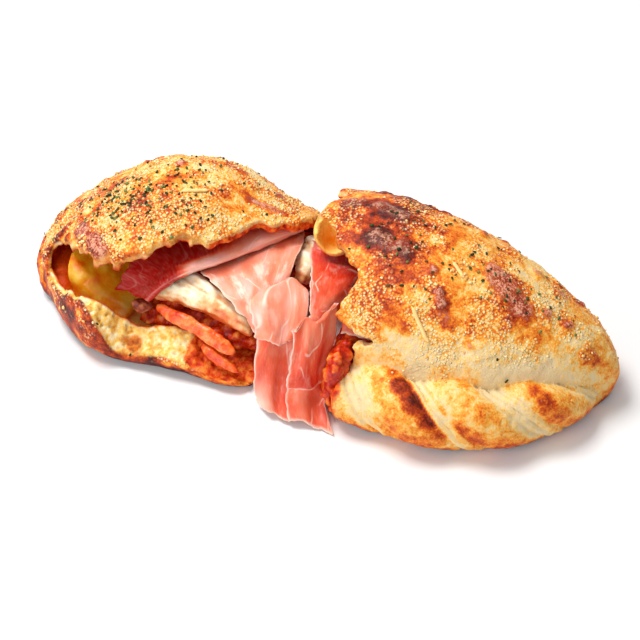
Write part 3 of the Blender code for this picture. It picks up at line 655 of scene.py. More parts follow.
def crust_piece(half, spots):
    """One half of the dough: its mesh, with the browning, cheese and crumb of each point worked out."""
    low, solid, fields = half_field(half)
    points, quads = surface_of(solid, low, VOXEL)
    facing = facings(points, quads)
    got = {key: sample(field, low, VOXEL, points) for key, field in fields.items()}
    x, y, z = points.T
    side = half[3]
    skin = step(got["whole"], -1.9, -0.8)
    inner = step(got["hollow"], 1.6, 0.5) * (1 - skin)
    crumb = (1 - skin) * (1 - inner)
    rolled = step(got["rope"], 1.4, 0.3) * skin
    degrees = dome_at(half, x, y, z)[1]
    back = back_spots(5, 130) if side > 0 else back_spots(-125, -20)
    relief, brown, scorch = spotted(points, half, spots + back)
    upright = facing[:, 2]
    # how far each point has baked
    blotch = fractal(x, y, z, 20.0, 21 + side)
    mottle = fractal(x, y, z, 7.0, 23 + side)
    if side > 0:
        pale = step(degrees, 118, 150) * step(x, 18, 40) * step(degrees, 250, 215)
        toast = 0.34 + 0.24 * blotch + 0.26 * mottle + 0.2 * step(x, 78, 35)
        toast -= 0.38 * pale * (1 - 0.4 * step(x, 110, 135))
        scorch = scorch * (1 - 0.4 * step(x, 62, 44))
        brown = 0.82 * brown
        dense = 0.08
    else:
        wall = step(z, 42, 26) * step(degrees, 138, 168) * step(degrees, 260, 230)
        toast = 0.36 + 0.32 * blotch + 0.3 * mottle + wall * (0.26 + 0.2 * mottle)
        scorch = scorch * (1 - 0.85 * np.maximum(wall, step(x, -104, -112)))
        dense = 0.26 - 0.15 * wall
    toast += brown * (1 - rolled)
    # rolled edge: pale in the creases, browned on the lobes
    lobe = got["lobes"]
    strap = step(lobe, 0.36, 0.24)
    edge_toast = 0.03 + 0.25 * step(lobe, 0.4, 0.9) + 0.14 * mottle + 0.3 * step(upright, 0.3, -0.5)
    if side > 0:
        for *place, radius, browning in ROPE_SPOTS:
            away = np.linalg.norm(points - place, axis=1) / radius * (1 + 0.3 * mottle)
            spot = 0.95 * browning * step(away, 1.7, 0.4) * (1 - strap) + 0.15 * mottle
            edge_toast = np.maximum(edge_toast, spot)
    else:
        edge_toast = edge_toast + 0.35 + 0.2 * blotch
    toast = toast * (1 - rolled) + edge_toast * rolled
    toast += 0.5 * step(z, 5, 0.5)
    # grated cheese baked on
    cheese = skin * (dense + 0.35 * step(upright, 0.0, 0.7) + 0.95 * fractal(x, y, z, 12.0, 31 + side))
    cheese = np.clip(cheese * (1 - 0.8 * rolled) * (1 - scorch) * step(z, 3, 14), 0, 1)
    # relief of the skin, of the torn crumb and of the hollow's wall, fading out on the floor
    near, which = cells(points, 2.4, 1)
    pebbles = 0.5 * step(near, 0.65, 0.15) * step(which, 0.0, 0.5) * cheese
    rough = 0.22 * smooth_noise(x, y, z, 2.6, 40) + 0.12 * smooth_noise(x, y, z, 1.5, 41)
    pores = cells(points, 3.4, 2)[0]
    pits = -1.1 * step(pores, 0.42, 0.15) + 0.5 * smooth_noise(x, y, z, 2.2, 43)
    drape = 0.5 * smooth_noise(x, y, z, 6.0, 45)
    lift = skin * (relief * (1 - rolled) + rough + pebbles) + crumb * pits + inner * drape
    lift += rolled * (1.0 * strap - 0.8 * np.exp(-(((lobe - 0.42) / 0.08) ** 2)))
    points = points + facing * (lift * step(z, 0.3, 2.5))[:, None]
    points[:, 2] = np.maximum(points[:, 2], 0)
    # filling soaked into the hollow's wall, painted darker orange towards the top of the hollow as painted
    # shade and paler inside the curl as painted light; browned torn edges, and sauce smeared on the crumb
    soak = 0.84 + 0.4 * fractal(x, y, z, 14.0, 51) + 0.5 * step(z, 20, 40) - 0.5 * step(z, 16, 8)
    soak -= 1.35 * step(np.linalg.norm(points - CURL_MIDDLE, axis=1), 18, 14)
    burn = 0.9 * step(z, 12, 4) + 0.3 * mottle + 0.45 * step(z, 28, 38)
    for *place, radius in CRUMB_SPOTS:
        away = np.linalg.norm(points - place, axis=1) * (1 + 0.3 * mottle)
        burn = burn + 0.8 * step(away, 1.6 * radius, 0.5 * radius)
    if side > 0:
        skin = skin * (1 - step(x + 5 * mottle, 37, 31) * step(z, 38, 30) * step(y, -34, -40))
        sauce = (1 - skin) * step(z, 32, 24) * step(x, 46, 36)
    else:
        sauce = (1 - skin) * step(x, -46, -38) * step(z, 2, 5) * step(y, -62, -58)
    values = dict(toast=toast, cheese=cheese, skin=skin, inner=inner, soak=soak, burn=burn)
    values.update(scorch=scorch * (1 - rolled), sauce=sauce + 0.3 * mottle * sauce)
    return points, quads, facing, values


def crust_finish():
    """Baked dough: browned skin with baked-on cheese, open crumb where torn, soaked inside, with painted
    shade between the cheese granules and towards the top of the hollow, and painted highlights on the
    scorched blisters.
    """
    finish = Finish("crust", specular=0.22)
    toast, cheese, skin, scorch = (finish.attribute(key) for key in ("toast", "cheese", "skin", "scorch"))
    inner, soak = finish.attribute("inner"), finish.attribute("soak")
    fine, coarse = finish.noise(0.9, 3.0), finish.noise(3.2, 4.0)
    shift = finish.add(finish.swing(fine, 0.5), finish.swing(coarse, 0.75))
    grain, tint = finish.granules(1.2)
    domed = finish.ease(grain, 0.75, 0.15)
    # painted shade between the cheese granules and painted light on their domes: toast raised in the gaps,
    # lowered at their middles
    painted_granule_light_and_shade = finish.times(finish.sum("SUBTRACT", 0.35, domed), finish.times(cheese, 0.5))
    baked = finish.ramp(
        finish.add(finish.add(toast, shift), painted_granule_light_and_shade),
        (0.0, 234, 208, 160),
        (0.16, 245, 205, 130),
        (0.32, 244, 168, 60),
        (0.48, 226, 114, 24),
        (0.64, 184, 64, 12),
        (0.82, 128, 34, 8),
        (1.0, 74, 18, 8),
    )
    # scorched blisters: red-brown scorch colour, and at the ramp's pale pinkish end a painted highlight
    scorch_and_painted_highlight = finish.ramp(
        finish.add(coarse, finish.swing(fine, 1.3)),
        (0.3, 120, 34, 22),
        (0.46, 182, 88, 60),
        (0.63, 230, 168, 136),
    )
    scorched = finish.ease(finish.add(scorch, finish.times(shift, 1.1)), 0.3, 0.95, 0.0, 0.85)
    baked = finish.mix(scorched, baked, scorch_and_painted_highlight)
    cover = finish.ease(finish.sum("SUBTRACT", finish.times(cheese, 1.15), tint), 0.0, 0.6)
    grains = finish.times(cover, domed)
    pale = finish.ramp(tint, (0.0, 255, 238, 196), (0.4, 252, 218, 146), (0.8, 246, 186, 90))
    outside = finish.mix(finish.times(grains, 0.7), baked, pale)
    crumb = finish.ramp(coarse, (0.3, 214, 134, 44), (0.46, 246, 196, 96), (0.62, 253, 232, 180))
    browned = finish.ramp(coarse, (0.35, 150, 62, 12), (0.6, 222, 128, 34))
    burn = finish.ease(finish.add(finish.attribute("burn"), finish.times(shift, 0.6)), 0.2, 0.7)
    crumb = finish.mix(burn, crumb, browned)
    # inside: soaked filling colour, its darker orange end partly painted shade high in the hollow
    inside = finish.ramp(
        finish.add(soak, finish.times(shift, 0.5)),
        (0.0, 255, 214, 118),
        (0.35, 252, 150, 14),
        (0.7, 226, 84, 2),
        (1.0, 190, 52, 0),
    )
    torn = finish.mix(inner, crumb, inside)
    sauce = finish.ease(finish.add(finish.attribute("sauce"), shift), 0.35, 0.65)
    sauced = finish.ramp(coarse, (0.35, 176, 30, 6), (0.5, 226, 82, 18), (0.65, 248, 140, 54))
    torn = finish.mix(sauce, torn, sauced)
    finish.set("Base Color", finish.mix(skin, torn, outside))
    finish.set("Roughness", finish.ease(scorch, 0.2, 0.8, 0.52, 0.3))
    finish.soft(0.1, (1.0, 0.5, 0.2), 1.5)
    finish.bump(finish.add(grains, finish.times(fine, 0.6)), 0.55)
    finish.bump(coarse, 0.5)
    return finish


# ---- small lumps and flakes ----------------------------------------------------------------------


def solid_points():
    """Points and triangles of a ball of radius 1."""
    build = bmesh.new()
    bmesh.ops.create_icosphere(build, subdivisions=1, radius=1.0)
    points = np.array([v.co for v in build.verts])
    faces = np.array([[v.index for v in f.verts] for f in build.faces])
    build.free()
    return points, faces


def turned(draw, count):
    """Random turns as matrices."""
    w, x, y, z = unit(draw.normal(size=(count, 4))).T
    rows = [
        [1 - 2 * (y * y + z * z), 2 * (x * y - w * z), 2 * (x * z + w * y)],
        [2 * (x * y + w * z), 1 - 2 * (x * x + z * z), 2 * (y * z - w * x)],
        [2 * (x * z - w * y), 2 * (y * z + w * x), 1 - 2 * (x * x + y * y)],
    ]
    return np.array(rows).transpose(2, 0, 1)


def scattered(places, facing, sizes, sunk, draw, lumpy=0.3, flat=False):
    """Points and triangles of many small lumps lying at the places."""
    ball, faces = solid_points()
    count = len(places)
    lumps = ball[None] * (1 + lumpy * draw.uniform(-1, 1, (count, len(ball), 1)))
    lumps = lumps * sizes[:, None, :]
    if flat:
        up = unit(facing + 0.25 * draw.normal(size=facing.shape))
        across = unit(np.cross(up, draw.normal(size=up.shape)))
        turns = np.stack([across, np.cross(up, across), up], axis=2)
    else:
        turns = turned(draw, count)
    lumps = np.einsum("nij,nkj->nki", turns, lumps) + (places + facing * sunk[:, None])[:, None]
    numbers = faces[None] + (np.arange(count) * len(ball))[:, None, None]
    return lumps.reshape(-1, 3), numbers.reshape(-1, 3)


def chosen(draw, points, quads, weight, count):
    """A corner of each of some random quads, picked by their area times the weight at their points."""
    a, b, c, d = (points[quads[:, n]] for n in range(4))
    area = np.linalg.norm(np.cross(c - a, d - b), axis=1) * weight[quads].mean(axis=1)
    return quads[draw.choice(len(quads), count, p=area / area.sum())][:, 0]


# ---- cured ham ---------------------------------------------------------------------------------------

# Each slice is a cage of rows from its back or upper edge to its lower edge
HAM = {
    "ham_back": [
        [(-84, -41.5, 24), (-82, -32.5, 35), (-73, -16, 39.5), (-55, 0, 41), (-39, 19, 38), (-26, 31, 34)],
        [(-75, -41.5, 24), (-67, -36.5, 37), (-56, -24.5, 42), (-43, -10.5, 44), (-34, 9.5, 42),
         (-21.5, 26.5, 36)],
        [(-69, -44.5, 27), (-62, -42.5, 39), (-51, -33, 45), (-35, -22.5, 47), (-28, -0.5, 45),
         (-16, 20.5, 39)],
        [(-64, -48.5, 30), (-58.5, -47, 38), (-48.5, -34.5, 43), (-33.5, -24.5, 45), (-25.5, -3, 43),
         (-15.5, 18.5, 37)],
        [(-63, -44.5, 29), (-57, -42, 37), (-48, -30, 40), (-34.5, -20, 42), (-25.5, -1, 40),
         (-16.5, 18.5, 35)],
    ],
    "ham_left": [
        [(-51, -24.5, 35), (-36, -13, 37.5), (-26.5, 5, 36), (-17.5, 22.5, 31)],
        [(-42, -32, 39), (-27, -24, 42), (-17.5, -11, 42), (-11.5, 4, 38)],
        [(-29.5, -39, 40), (-19, -34, 43.5), (-11.5, -24.5, 43.5), (-7.5, -13, 42)],
        [(-18, -44.5, 37), (-13.5, -39.5, 40), (-10, -32, 40), (-7, -22, 39)],
        [(-9, -49, 30), (-8, -44.5, 33), (-6.5, -37, 35), (-4.5, -29, 36)],
    ],
    "ham_apron": [
        [(-12.5, -40.5, 43), (-10.5, -36.5, 44.5), (-5, -31, 44.5), (-3.5, -24, 44), (2, -25.5, 43),
         (6.5, -26.5, 42.5)],
        [(-15.5, -42.5, 45.5), (-13.5, -35.5, 48), (-6, -29, 48.5), (-5.5, -19, 48), (1, -22.5, 46),
         (6, -25, 45.5)],
        [(-10.5, -49.5, 43.5), (-6, -46, 47), (-1, -41, 46.5), (2.5, -37, 44.5), (6.5, -37, 45.5),
         (10.5, -36.5, 42.5)],
        [(-7.5, -52.5, 38.5), (-1.5, -51.5, 41), (2.5, -50, 39), (5, -47, 37), (8, -45.5, 38.5),
         (11, -43.5, 36.5)],
        [(-6.5, -53.5, 35), (0, -55.5, 37), (3.5, -54, 34.5), (5.5, -51.5, 33.5), (8, -49, 35),
         (10.5, -46.5, 34)],
    ],
    "ham_tail_left": [
        [(-9.5, -42, 31), (-3, -44.5, 34.5), (1, -41, 33), (5.5, -36.5, 33)],
        [(-8.5, -52, 28), (-1, -55, 31), (1.5, -48, 27.5), (8, -47, 29)],
        [(-7, -56.5, 17.5), (-2, -55.5, 21.5), (2.5, -53, 17), (8, -50, 20.5)],
        [(-5, -60.5, 8), (0.5, -58.5, 12.5), (5, -59, 7.5), (9, -56, 9.5)],
        [(-2, -61.5, 1.5), (5, -65, 4.5), (10, -66, 1.5), (15, -65.5, 1.5)],
    ],
    "ham_right": [
        [(-14.5, 27.5, 32), (-8.5, 29, 33), (-1.5, 29, 34), (6.5, 29.5, 34)],
        [(-9.5, 12, 34), (-3.5, 14, 32.5), (4.5, 14, 32), (14, 14.5, 32)],
        [(1, -12.5, 46), (7.5, -11.5, 45.5), (14.5, -9, 45), (22, -4, 42)],
        [(8, -28.5, 48), (14.5, -29.5, 48.5), (19, -23, 46.5), (22.5, -16, 43)],
        [(11.5, -37, 44.5), (16.5, -38, 44), (19, -28, 39.5), (22, -17, 37)],
        [(14, -41.5, 40.5), (18, -41.5, 39.5), (19.5, -32, 36), (22, -21, 34)],
    ],
    "ham_drape": [
        [(11.5, -49, 42.5), (13.5, -43, 45), (19, -45, 41), (20, -39, 42.5), (20.5, -30, 41)],
        [(10, -50.5, 46), (11.5, -41, 50.5), (18, -43.5, 45), (19.5, -37, 47.5), (20, -26, 46.5)],
        [(11.5, -53.5, 38), (15.5, -49.5, 42), (19, -49.5, 37), (21, -43.5, 40), (21.5, -33, 40)],
        [(11.5, -56.5, 30), (17, -53.5, 33), (19.5, -51, 27.5), (21.5, -45.5, 31), (23, -38, 31)],
        [(10.5, -60, 22), (17, -56, 23), (19.5, -53.5, 19), (21.5, -49, 22), (23, -42, 22)],
        [(10.5, -60, 17), (17.5, -57, 17.5), (21, -54.5, 14.5), (22.5, -50, 15.5), (23.5, -45.5, 15)],
    ],
    "ham_tail_right": [
        [(9.5, -53.5, 18), (13, -50, 17.5), (17.5, -47.5, 15.5), (20, -43, 12)],
        [(10, -55.5, 15.5), (16.5, -53, 16), (22, -51, 12.5), (23.5, -48.5, 9.5)],
        [(9, -58.5, 10), (16.5, -59, 12), (19, -50, 8.5), (25.5, -51, 5.5)],
        [(11, -62, 6), (17.5, -60.5, 8.5), (23.5, -57.5, 5), (29, -56.5, 2.5)],
        [(15, -66, 3.5), (21, -65.5, 4.5), (27, -63.5, 1.5), (34, -63.5, 1.5)],
    ],
    "ham_inner": [
        [(24.5, -19, 39), (29, -19, 40), (36, -19, 40), (44, -18, 38)],
        [(23.5, -27, 37), (29, -27.5, 37), (36.5, -27, 35.5), (43, -25, 34)],
        [(25.5, -34, 33), (30, -34.5, 33.5), (36.5, -32.5, 31.5), (41, -29, 31)],
    ],
}

# How each slice waves and pleats (millimetres), which of its sides show a white rim (first row, last row,
# first column, last column), how fatty it is, and how red it is at its first row and at its last. The
# redness is partly the slice's own tint and partly painted shade, deepest where a slice lies in shadow.
SLICES = {
    "ham_back": (0.5, 0.3, (0, 0, 1, 0), 0.25, 0.5, -0.15),
    "ham_left": (0.5, 0.3, (1, 1, 1, 1), 0.9, 0.3, 0.12),
    "ham_apron": (0.5, 0.6, (1, 1, 1, 1), 0.4, 0.18, 0.25),
    "ham_tail_left": (0.9, 1.3, (0, 1, 1, 1), 0.35, 0.5, 0.5),
    "ham_right": (0.6, 0.5, (1, 1, 1, 1), 0.4, 1.1, 0.2),
    "ham_drape": (0.6, 1.2, (1, 1, 1, 1), 0.3, 0.3, 0.65),
    "ham_tail_right": (0.8, 1.3, (1, 1, 1, 1), 0.35, 0.5, 0.5),
    "ham_inner": (0.5, 0.4, (0, 1, 0, 0), 0.3, 0.6, 0.5),
}
HAM_THICKNESS = 0.9
HAM_STEP = 0.7


def spline(control, count):
    """Rows of a smooth sheet drawn to its control rows, from the first to the last."""
    control = np.asarray(control, float)
    rows = np.concatenate([2 * control[:1] - control[1:2], control, 2 * control[-1:] - control[-2:-1]])
    t = np.linspace(0, len(control) - 1, count)
    i = np.minimum(t.astype(int), len(control) - 2)
    f = (t - i).reshape(-1, *([1] * (control.ndim - 1)))
    shares = ((1 - f) ** 3, 3 * f**3 - 6 * f**2 + 4, 1 + 3 * f + 3 * f**2 - 3 * f**3, f**3)
    return sum(share * rows[i + n] for n, share in enumerate(shares)) / 6


def ham_slice(name, cage, seed):
    """A thin slice with wavy, thinning edges: points of both faces, faces, and its values."""
    waves, pleats, rims, fatty, red, red_below = SLICES[name]
    cage = np.array(cage, float)
    length = np.linalg.norm(np.diff(cage, axis=0), axis=2).sum(axis=0).max()
    width = np.linalg.norm(np.diff(cage, axis=1), axis=2).sum(axis=1).max()
    rows, columns = int(length / HAM_STEP), int(width / HAM_STEP)
    sheet = spline(np.swapaxes(spline(np.swapaxes(cage, 0, 1), columns), 0, 1), rows)
    down = np.linspace(0, length, rows)[:, None] + np.zeros((1, columns))
    along = np.linspace(0, width, columns)[None] + np.zeros((rows, 1))
    sides = (down, length - down, along, width - along)
    edge = np.minimum.reduce(sides)
    white = np.max([rim * np.exp(-((side / 0.9) ** 2)) for rim, side in zip(rims, sides)], axis=0)
    tangents = [unit(np.gradient(sheet, axis=n), 1e-6) for n in (0, 1)]
    facing = unit(np.cross(*tangents), 1e-6)
    near = np.exp(-edge / 5.0)

    def ripple(size, shift, u=down, v=along):
        return smooth_noise(u, v, 0 * down, size, seed + shift)

    wave = waves * (0.35 + near) * ripple(9.0, 0)
    wave += 0.35 * waves * ripple(4.0, 3, down * 0.6)
    wave += pleats * step(down, 0, 8) * ripple(6.5, 9, down * 0.3, along + 0.25 * down)
    fray = 1.1 * ripple(5.0, 7) + 0.5 * ripple(2.0, 8)
    out = [np.exp(-sides[n + 1] / 2.5) - np.exp(-sides[n] / 2.5) for n in (0, 2)]
    sheet = sheet + sum(t * (fray * o)[..., None] for t, o in zip(tangents, out)) + facing * wave[..., None]
    half = HAM_THICKNESS / 2 * (0.35 + 0.65 * (1 - np.exp(-edge / 1.5)))
    half = half + 0.05 * ripple(3.0, 5)
    upper, under = sheet + facing * half[..., None], sheet - facing * half[..., None]
    number = np.arange(rows * columns).reshape(rows, columns)
    corners = [number[:-1, :-1], number[:-1, 1:], number[1:, 1:], number[1:, :-1]]
    top = np.stack(corners, axis=2).reshape(-1, 4)
    shift = rows * columns
    rim = np.concatenate([number[0, :], number[1:, -1], number[-1, -2::-1], number[-2:0:-1, 0]])
    after = np.roll(rim, -1)
    skirt = np.stack([after, rim, rim + shift, after + shift], axis=1)
    faces = np.concatenate([top[:, ::-1], top + shift, skirt[:, ::-1]])
    points = np.concatenate([upper.reshape(-1, 3), under.reshape(-1, 3)])
    # redness from the first row to the last: partly the slice's own tint, partly painted shade
    red = red + (red_below - red) * down / length
    if name == "ham_back":
        share = down / length
        # painted shade: the part of ham_back hanging in shadow inside the mouth is painted deep red, its
        # white rim hidden there
        red = red + 1.3 * np.maximum(step(along, 42, 26), step(along, 72, 46) * step(share, 0.55, 0.35))
        white = np.maximum(white * step(along, 22, 36), 0.8 * np.exp(-(((share - 0.74) / 0.025) ** 2)))
    if name == "ham_tail_left":
        white = np.maximum(white, np.exp(-(((length - down) / 13) ** 2) - (along / 8) ** 2))
    values = dict(white=white, down=down + 40 * seed, along=along, fatty=0 * down + fatty, red=red)
    return points, faces, {key: np.tile(value.ravel(), 2) for key, value in values.items()}


def ham_finish():
    """Cured ham: translucent lean with fibres, thin fat veins and pale rims, and a moist sheen; its deepest
    reds are partly painted shade.
    """
    finish = Finish("ham", specular=0.3)
    join = finish.tree.nodes.new("ShaderNodeCombineXYZ")
    finish.feed(join.inputs[0], finish.attribute("down"))
    finish.feed(join.inputs[1], finish.attribute("along"))
    flat = join.outputs[0]

    def streaks(size, stretch, detail=2.0, warp=0.0):
        node = finish.tree.nodes.new("ShaderNodeMapping")
        finish.feed(node.inputs["Vector"], flat)
        node.inputs["Scale"].default_value = (MM / stretch, MM, MM)
        return finish.noise(size, detail, warp, node.outputs["Vector"])

    tone = finish.sum("SUBTRACT", streaks(14.0, 1.6, 2.0), 0.5)
    # lean colour: the redder end is partly painted shade where a slice lies in shadow
    lean = finish.ramp(
        finish.add(finish.attribute("red"), finish.times(tone, 0.9)),
        (0.0, 250, 180, 168),
        (0.25, 247, 146, 114),
        (0.5, 236, 95, 60),
        (0.75, 216, 52, 24),
        (1.0, 178, 14, 4),
    )
    fibre = streaks(1.4, 3.0, 3.0)
    lean = finish.mix(finish.ease(fibre, 0.4, 0.75, 0.0, 0.12), lean, linear(255, 200, 176))
    veins = finish.sum("ABSOLUTE", finish.sum("SUBTRACT", streaks(22.0, 1.6, 1.0, 0.4), 0.5), 0.0)
    veins = finish.ease(veins, 0.014, 0.003, 0.0, 0.6)
    veins = finish.times(veins, finish.ease(streaks(13.0, 1.0, 0.0), 0.44, 0.6))
    spread = finish.ease(finish.add(streaks(9.0, 1.3, 4.0), finish.times(fibre, 0.15)), 0.58, 0.78)
    spread = finish.times(spread, finish.attribute("fatty"))
    fat = finish.sum("MAXIMUM", veins, finish.times(spread, 0.8))
    fat = finish.sum("MAXIMUM", fat, finish.times(finish.attribute("white"), 0.85))
    # fat and rims fade where the redness paints shade
    fat = finish.times(fat, finish.ease(finish.attribute("red"), 0.7, 1.1, 1.0, 0.2))
    finish.set("Base Color", finish.mix(fat, lean, linear(254, 222, 204)))
    finish.soft(0.35, (3.0, 0.8, 0.5), 1.0)
    finish.set("Roughness", finish.ease(fibre, 0.3, 0.7, 0.42, 0.28))
    finish.bump(streaks(3.5, 1.6, 3.0), 0.2)
    return finish


def ham():
    """Every slice over its node."""
    finish = ham_finish()
    for seed, (name, cage) in enumerate(HAM.items()):
        points, faces, values = ham_slice(name, cage, seed + 1)
        dress(mesh_object(name + "_slice", points, faces, values), finish, "ham", name)


# ---- filling -------------------------------------------------------------------------------------------

STRAND_TURN = math.radians(-22)


def fine_copy(node, voxel, rounds):
    """Points and quads of a node's shape, remeshed finely and smoothed, in millimetres."""
    copy = bpy.data.objects.new("copy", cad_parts[node].data.copy())
    bpy.context.scene.collection.objects.link(copy)
    remesh = copy.modifiers.new("remesh", "REMESH")
    remesh.mode = "VOXEL"
    remesh.voxel_size = voxel * MM
    smooth = copy.modifiers.new("smooth", "SMOOTH")
    smooth.iterations = rounds
    mesh = bpy.data.meshes.new_from_object(copy.evaluated_get(bpy.context.evaluated_depsgraph_get()))
    points = np.zeros(len(mesh.vertices) * 3)
    mesh.vertices.foreach_get("co", points)
    quads = np.zeros(len(mesh.loops), int)
    mesh.loops.foreach_get("vertex_index", quads)
    bpy.data.objects.remove(copy)
    bpy.data.meshes.remove(mesh)
    return points.reshape(-1, 3) / MM - ORIGIN_SHIFT, quads.reshape(-1, 4)


def filling_finish(slot, roughness, tone, stops, grain, specular=0.5, value=None):
    """A filling's finish, its colour read from noise, or from a value at its points that noise shifts.

    tone is the noise's size, detail and strength, and grain the size, detail and depth of its relief.
    """
    finish = Finish(slot, roughness, specular)
    colour = finish.noise(*tone[:2])
    if value:
        colour = finish.add(finish.attribute(value), finish.swing(colour, tone[2]))
    finish.set("Base Color", finish.ramp(colour, *stops))
    finish.bump(finish.noise(*grain[:2]), grain[2])
    return finish


def filling(node, ending, finish, slot, voxels, rounds, relief):
    """A piece over a node: its shape remeshed finely and lifted along its normals by the relief.

    The relief gives the lift and the values.
    """
    points, quads = fine_copy(node, voxels[1], rounds)
    facing = facings(points, quads)
    lift, values = relief(points, facing)
    points = points + facing * lift[:, None]
    dress(mesh_object(node + ending, points, quads, values), finish, slot, node)


def layers(*rows):
    """A relief of layers of noise, each of them its strength, size and seed."""
    return lambda points, facing: (sum(a * smooth_noise(*points.T, size, seed) for a, size, seed in rows), {})


def mince(seed):
    """A relief of lumps of mince with smaller grains between them, fading out on the floor; the lumps and
    grains painted lighter and the gaps between them darker, as painted light and shade over each lump's own
    tone.
    """

    def relief(points, facing):
        near, which = cells(points, 5.0, seed)
        small = cells(points, 2.2, seed + 3)[0]
        lump = step(near, 0.75, 0.15)
        lift = 1.7 * lump + 0.6 * step(small, 0.7, 0.1) - 1.0 + 0.4 * smooth_noise(*points.T, 3.0, seed)
        # painted light and shade: lumps and grains lighter, the gaps between them darker; each lump's own
        # tone varies too
        lump_tone_and_painted_shade = 0.15 + 0.5 * lump * (0.6 + 0.5 * which) + 0.25 * step(small, 0.5, 0.1)
        return lift * step(points[:, 2], 0.5, 4), dict(lump_tone_and_painted_shade=lump_tone_and_painted_shade)

    return relief


def strands(seed):
    """A relief of torn strands along the slab, with more stain in front and underneath."""

    def relief(points, facing):
        x, y, z = points.T
        cosine, sine = math.cos(STRAND_TURN), math.sin(STRAND_TURN)
        along, across = x * cosine + y * sine, y * cosine - x * sine
        strand = smooth_noise(along / 5, across, z, 3.6, seed)
        strand = strand + 0.5 * smooth_noise(along / 4, across, z, 1.8, seed + 2)
        front = np.interp(y, (y.min(), y.min() + 6, y.max()), (0.8, 0.4, 0.08))
        stain = front + 0.25 * step(facing[:, 2], 0.2, -0.4) + 0.12 * smooth_noise(x, y, z, 7.0, seed + 6)
        return 1.4 * strand + 0.5 * smooth_noise(x, y, z, 9.0, seed + 4), dict(stain=stain - 0.22 * strand)

    return relief


def fillings():
    """Meat sauce, torn mozzarella, strips of cooked tomato, melted cheese and a browned curl of ham."""
    # ragu: the pale orange end is a painted highlight on the lumps, the dark red end painted shade in the
    # gaps
    stops = (0.0, 126, 10, 2), (0.25, 192, 36, 8), (0.48, 224, 88, 24), (0.8, 248, 158, 66)
    ragu = filling_finish("ragu", 0.28, (1.6, 3.0, 0.8), stops, (0.9, 3.0, 0.3), 0.35, "lump_tone_and_painted_shade")
    ragu.soft(0.15, (1.5, 0.4, 0.2), 1.0)
    stops = (0.1, 255, 246, 222), (0.4, 250, 228, 186), (0.62, 240, 176, 112), (0.9, 216, 96, 40)
    torn = filling_finish("mozzarella", 0.32, (3.0, 4.0, 0.9), stops, (1.2, 3.0, 0.15), value="stain")
    torn.soft(0.4, (1.5, 1.1, 0.7), 1.5)
    stops = (0.3, 206, 44, 8), (0.5, 244, 98, 30), (0.68, 252, 152, 76)
    tomato = filling_finish("tomato", 0.22, (4.0, 4.0), stops, (1.0, 3.0, 0.25))
    tomato.soft(0.25, (2.0, 0.6, 0.2), 1.0)
    stops = (0.3, 244, 114, 2), (0.5, 255, 174, 26), (0.7, 255, 216, 80)
    melted = filling_finish("melted_cheese", 0.25, (9.0, 3.0), stops, (2.5, 2.0, 0.3))
    melted.soft(0.35, (2.0, 1.2, 0.4), 1.5)
    stops = (0.35, 110, 36, 22), (0.55, 190, 92, 60), (0.7, 226, 150, 110)
    cooked = filling_finish("cooked_ham", 0.4, (3.0, 3.0), stops, (1.0, 3.0, 0.3))
    for node, seed in (("ragu_left", 1), ("ragu_right", 2)):
        filling(node, "_sauce", ragu, "ragu", (1.6, 1.0), 6, mince(seed))
    for node, seed in (("mozzarella_left", 1), ("mozzarella_back", 2)):
        filling(node, "_torn", torn, "mozzarella", (1.2, 0.7), 8, strands(seed))
    for node, seed in (("tomato_upper", 1), ("tomato_lower", 2)):
        wrinkles = layers((0.7, 5.0, seed), (0.3, 1.8, seed + 4))
        filling(node, "_strip", tomato, "tomato", (1.0, 0.6), 5, wrinkles)
    flow = layers((0.8, 9.0, 4), (0.25, 3.5, 5))
    filling("melted_cheese", "_run", melted, "melted_cheese", (1.4, 0.9), 8, flow)
    creases = layers((0.7, 3.0, 4), (0.3, 1.4, 5))
    filling("ham_curl", "_bit", cooked, "cooked_ham", (1.0, 0.5), 4, creases)


# ---- stage ----------------------------------------------------------------------------------------------

CAMERA_TARGET = Vector((-0.00047, 0.00553, 0.0))
CAMERA_AZIMUTH, CAMERA_ELEVATION = math.radians(24), math.radians(45)
CAMERA_DISTANCE = 0.714
LENS = 84.7
WORLD_STRENGTH = 0.42
# Soft lights, all turned to the middle: (name, place, size in metres, watts)
LIGHTS = [("key", (-0.28, 0.05, 0.7), 0.35, 5.8), ("front", (-0.25, -0.75, 0.4), 0.6, 3.3)]


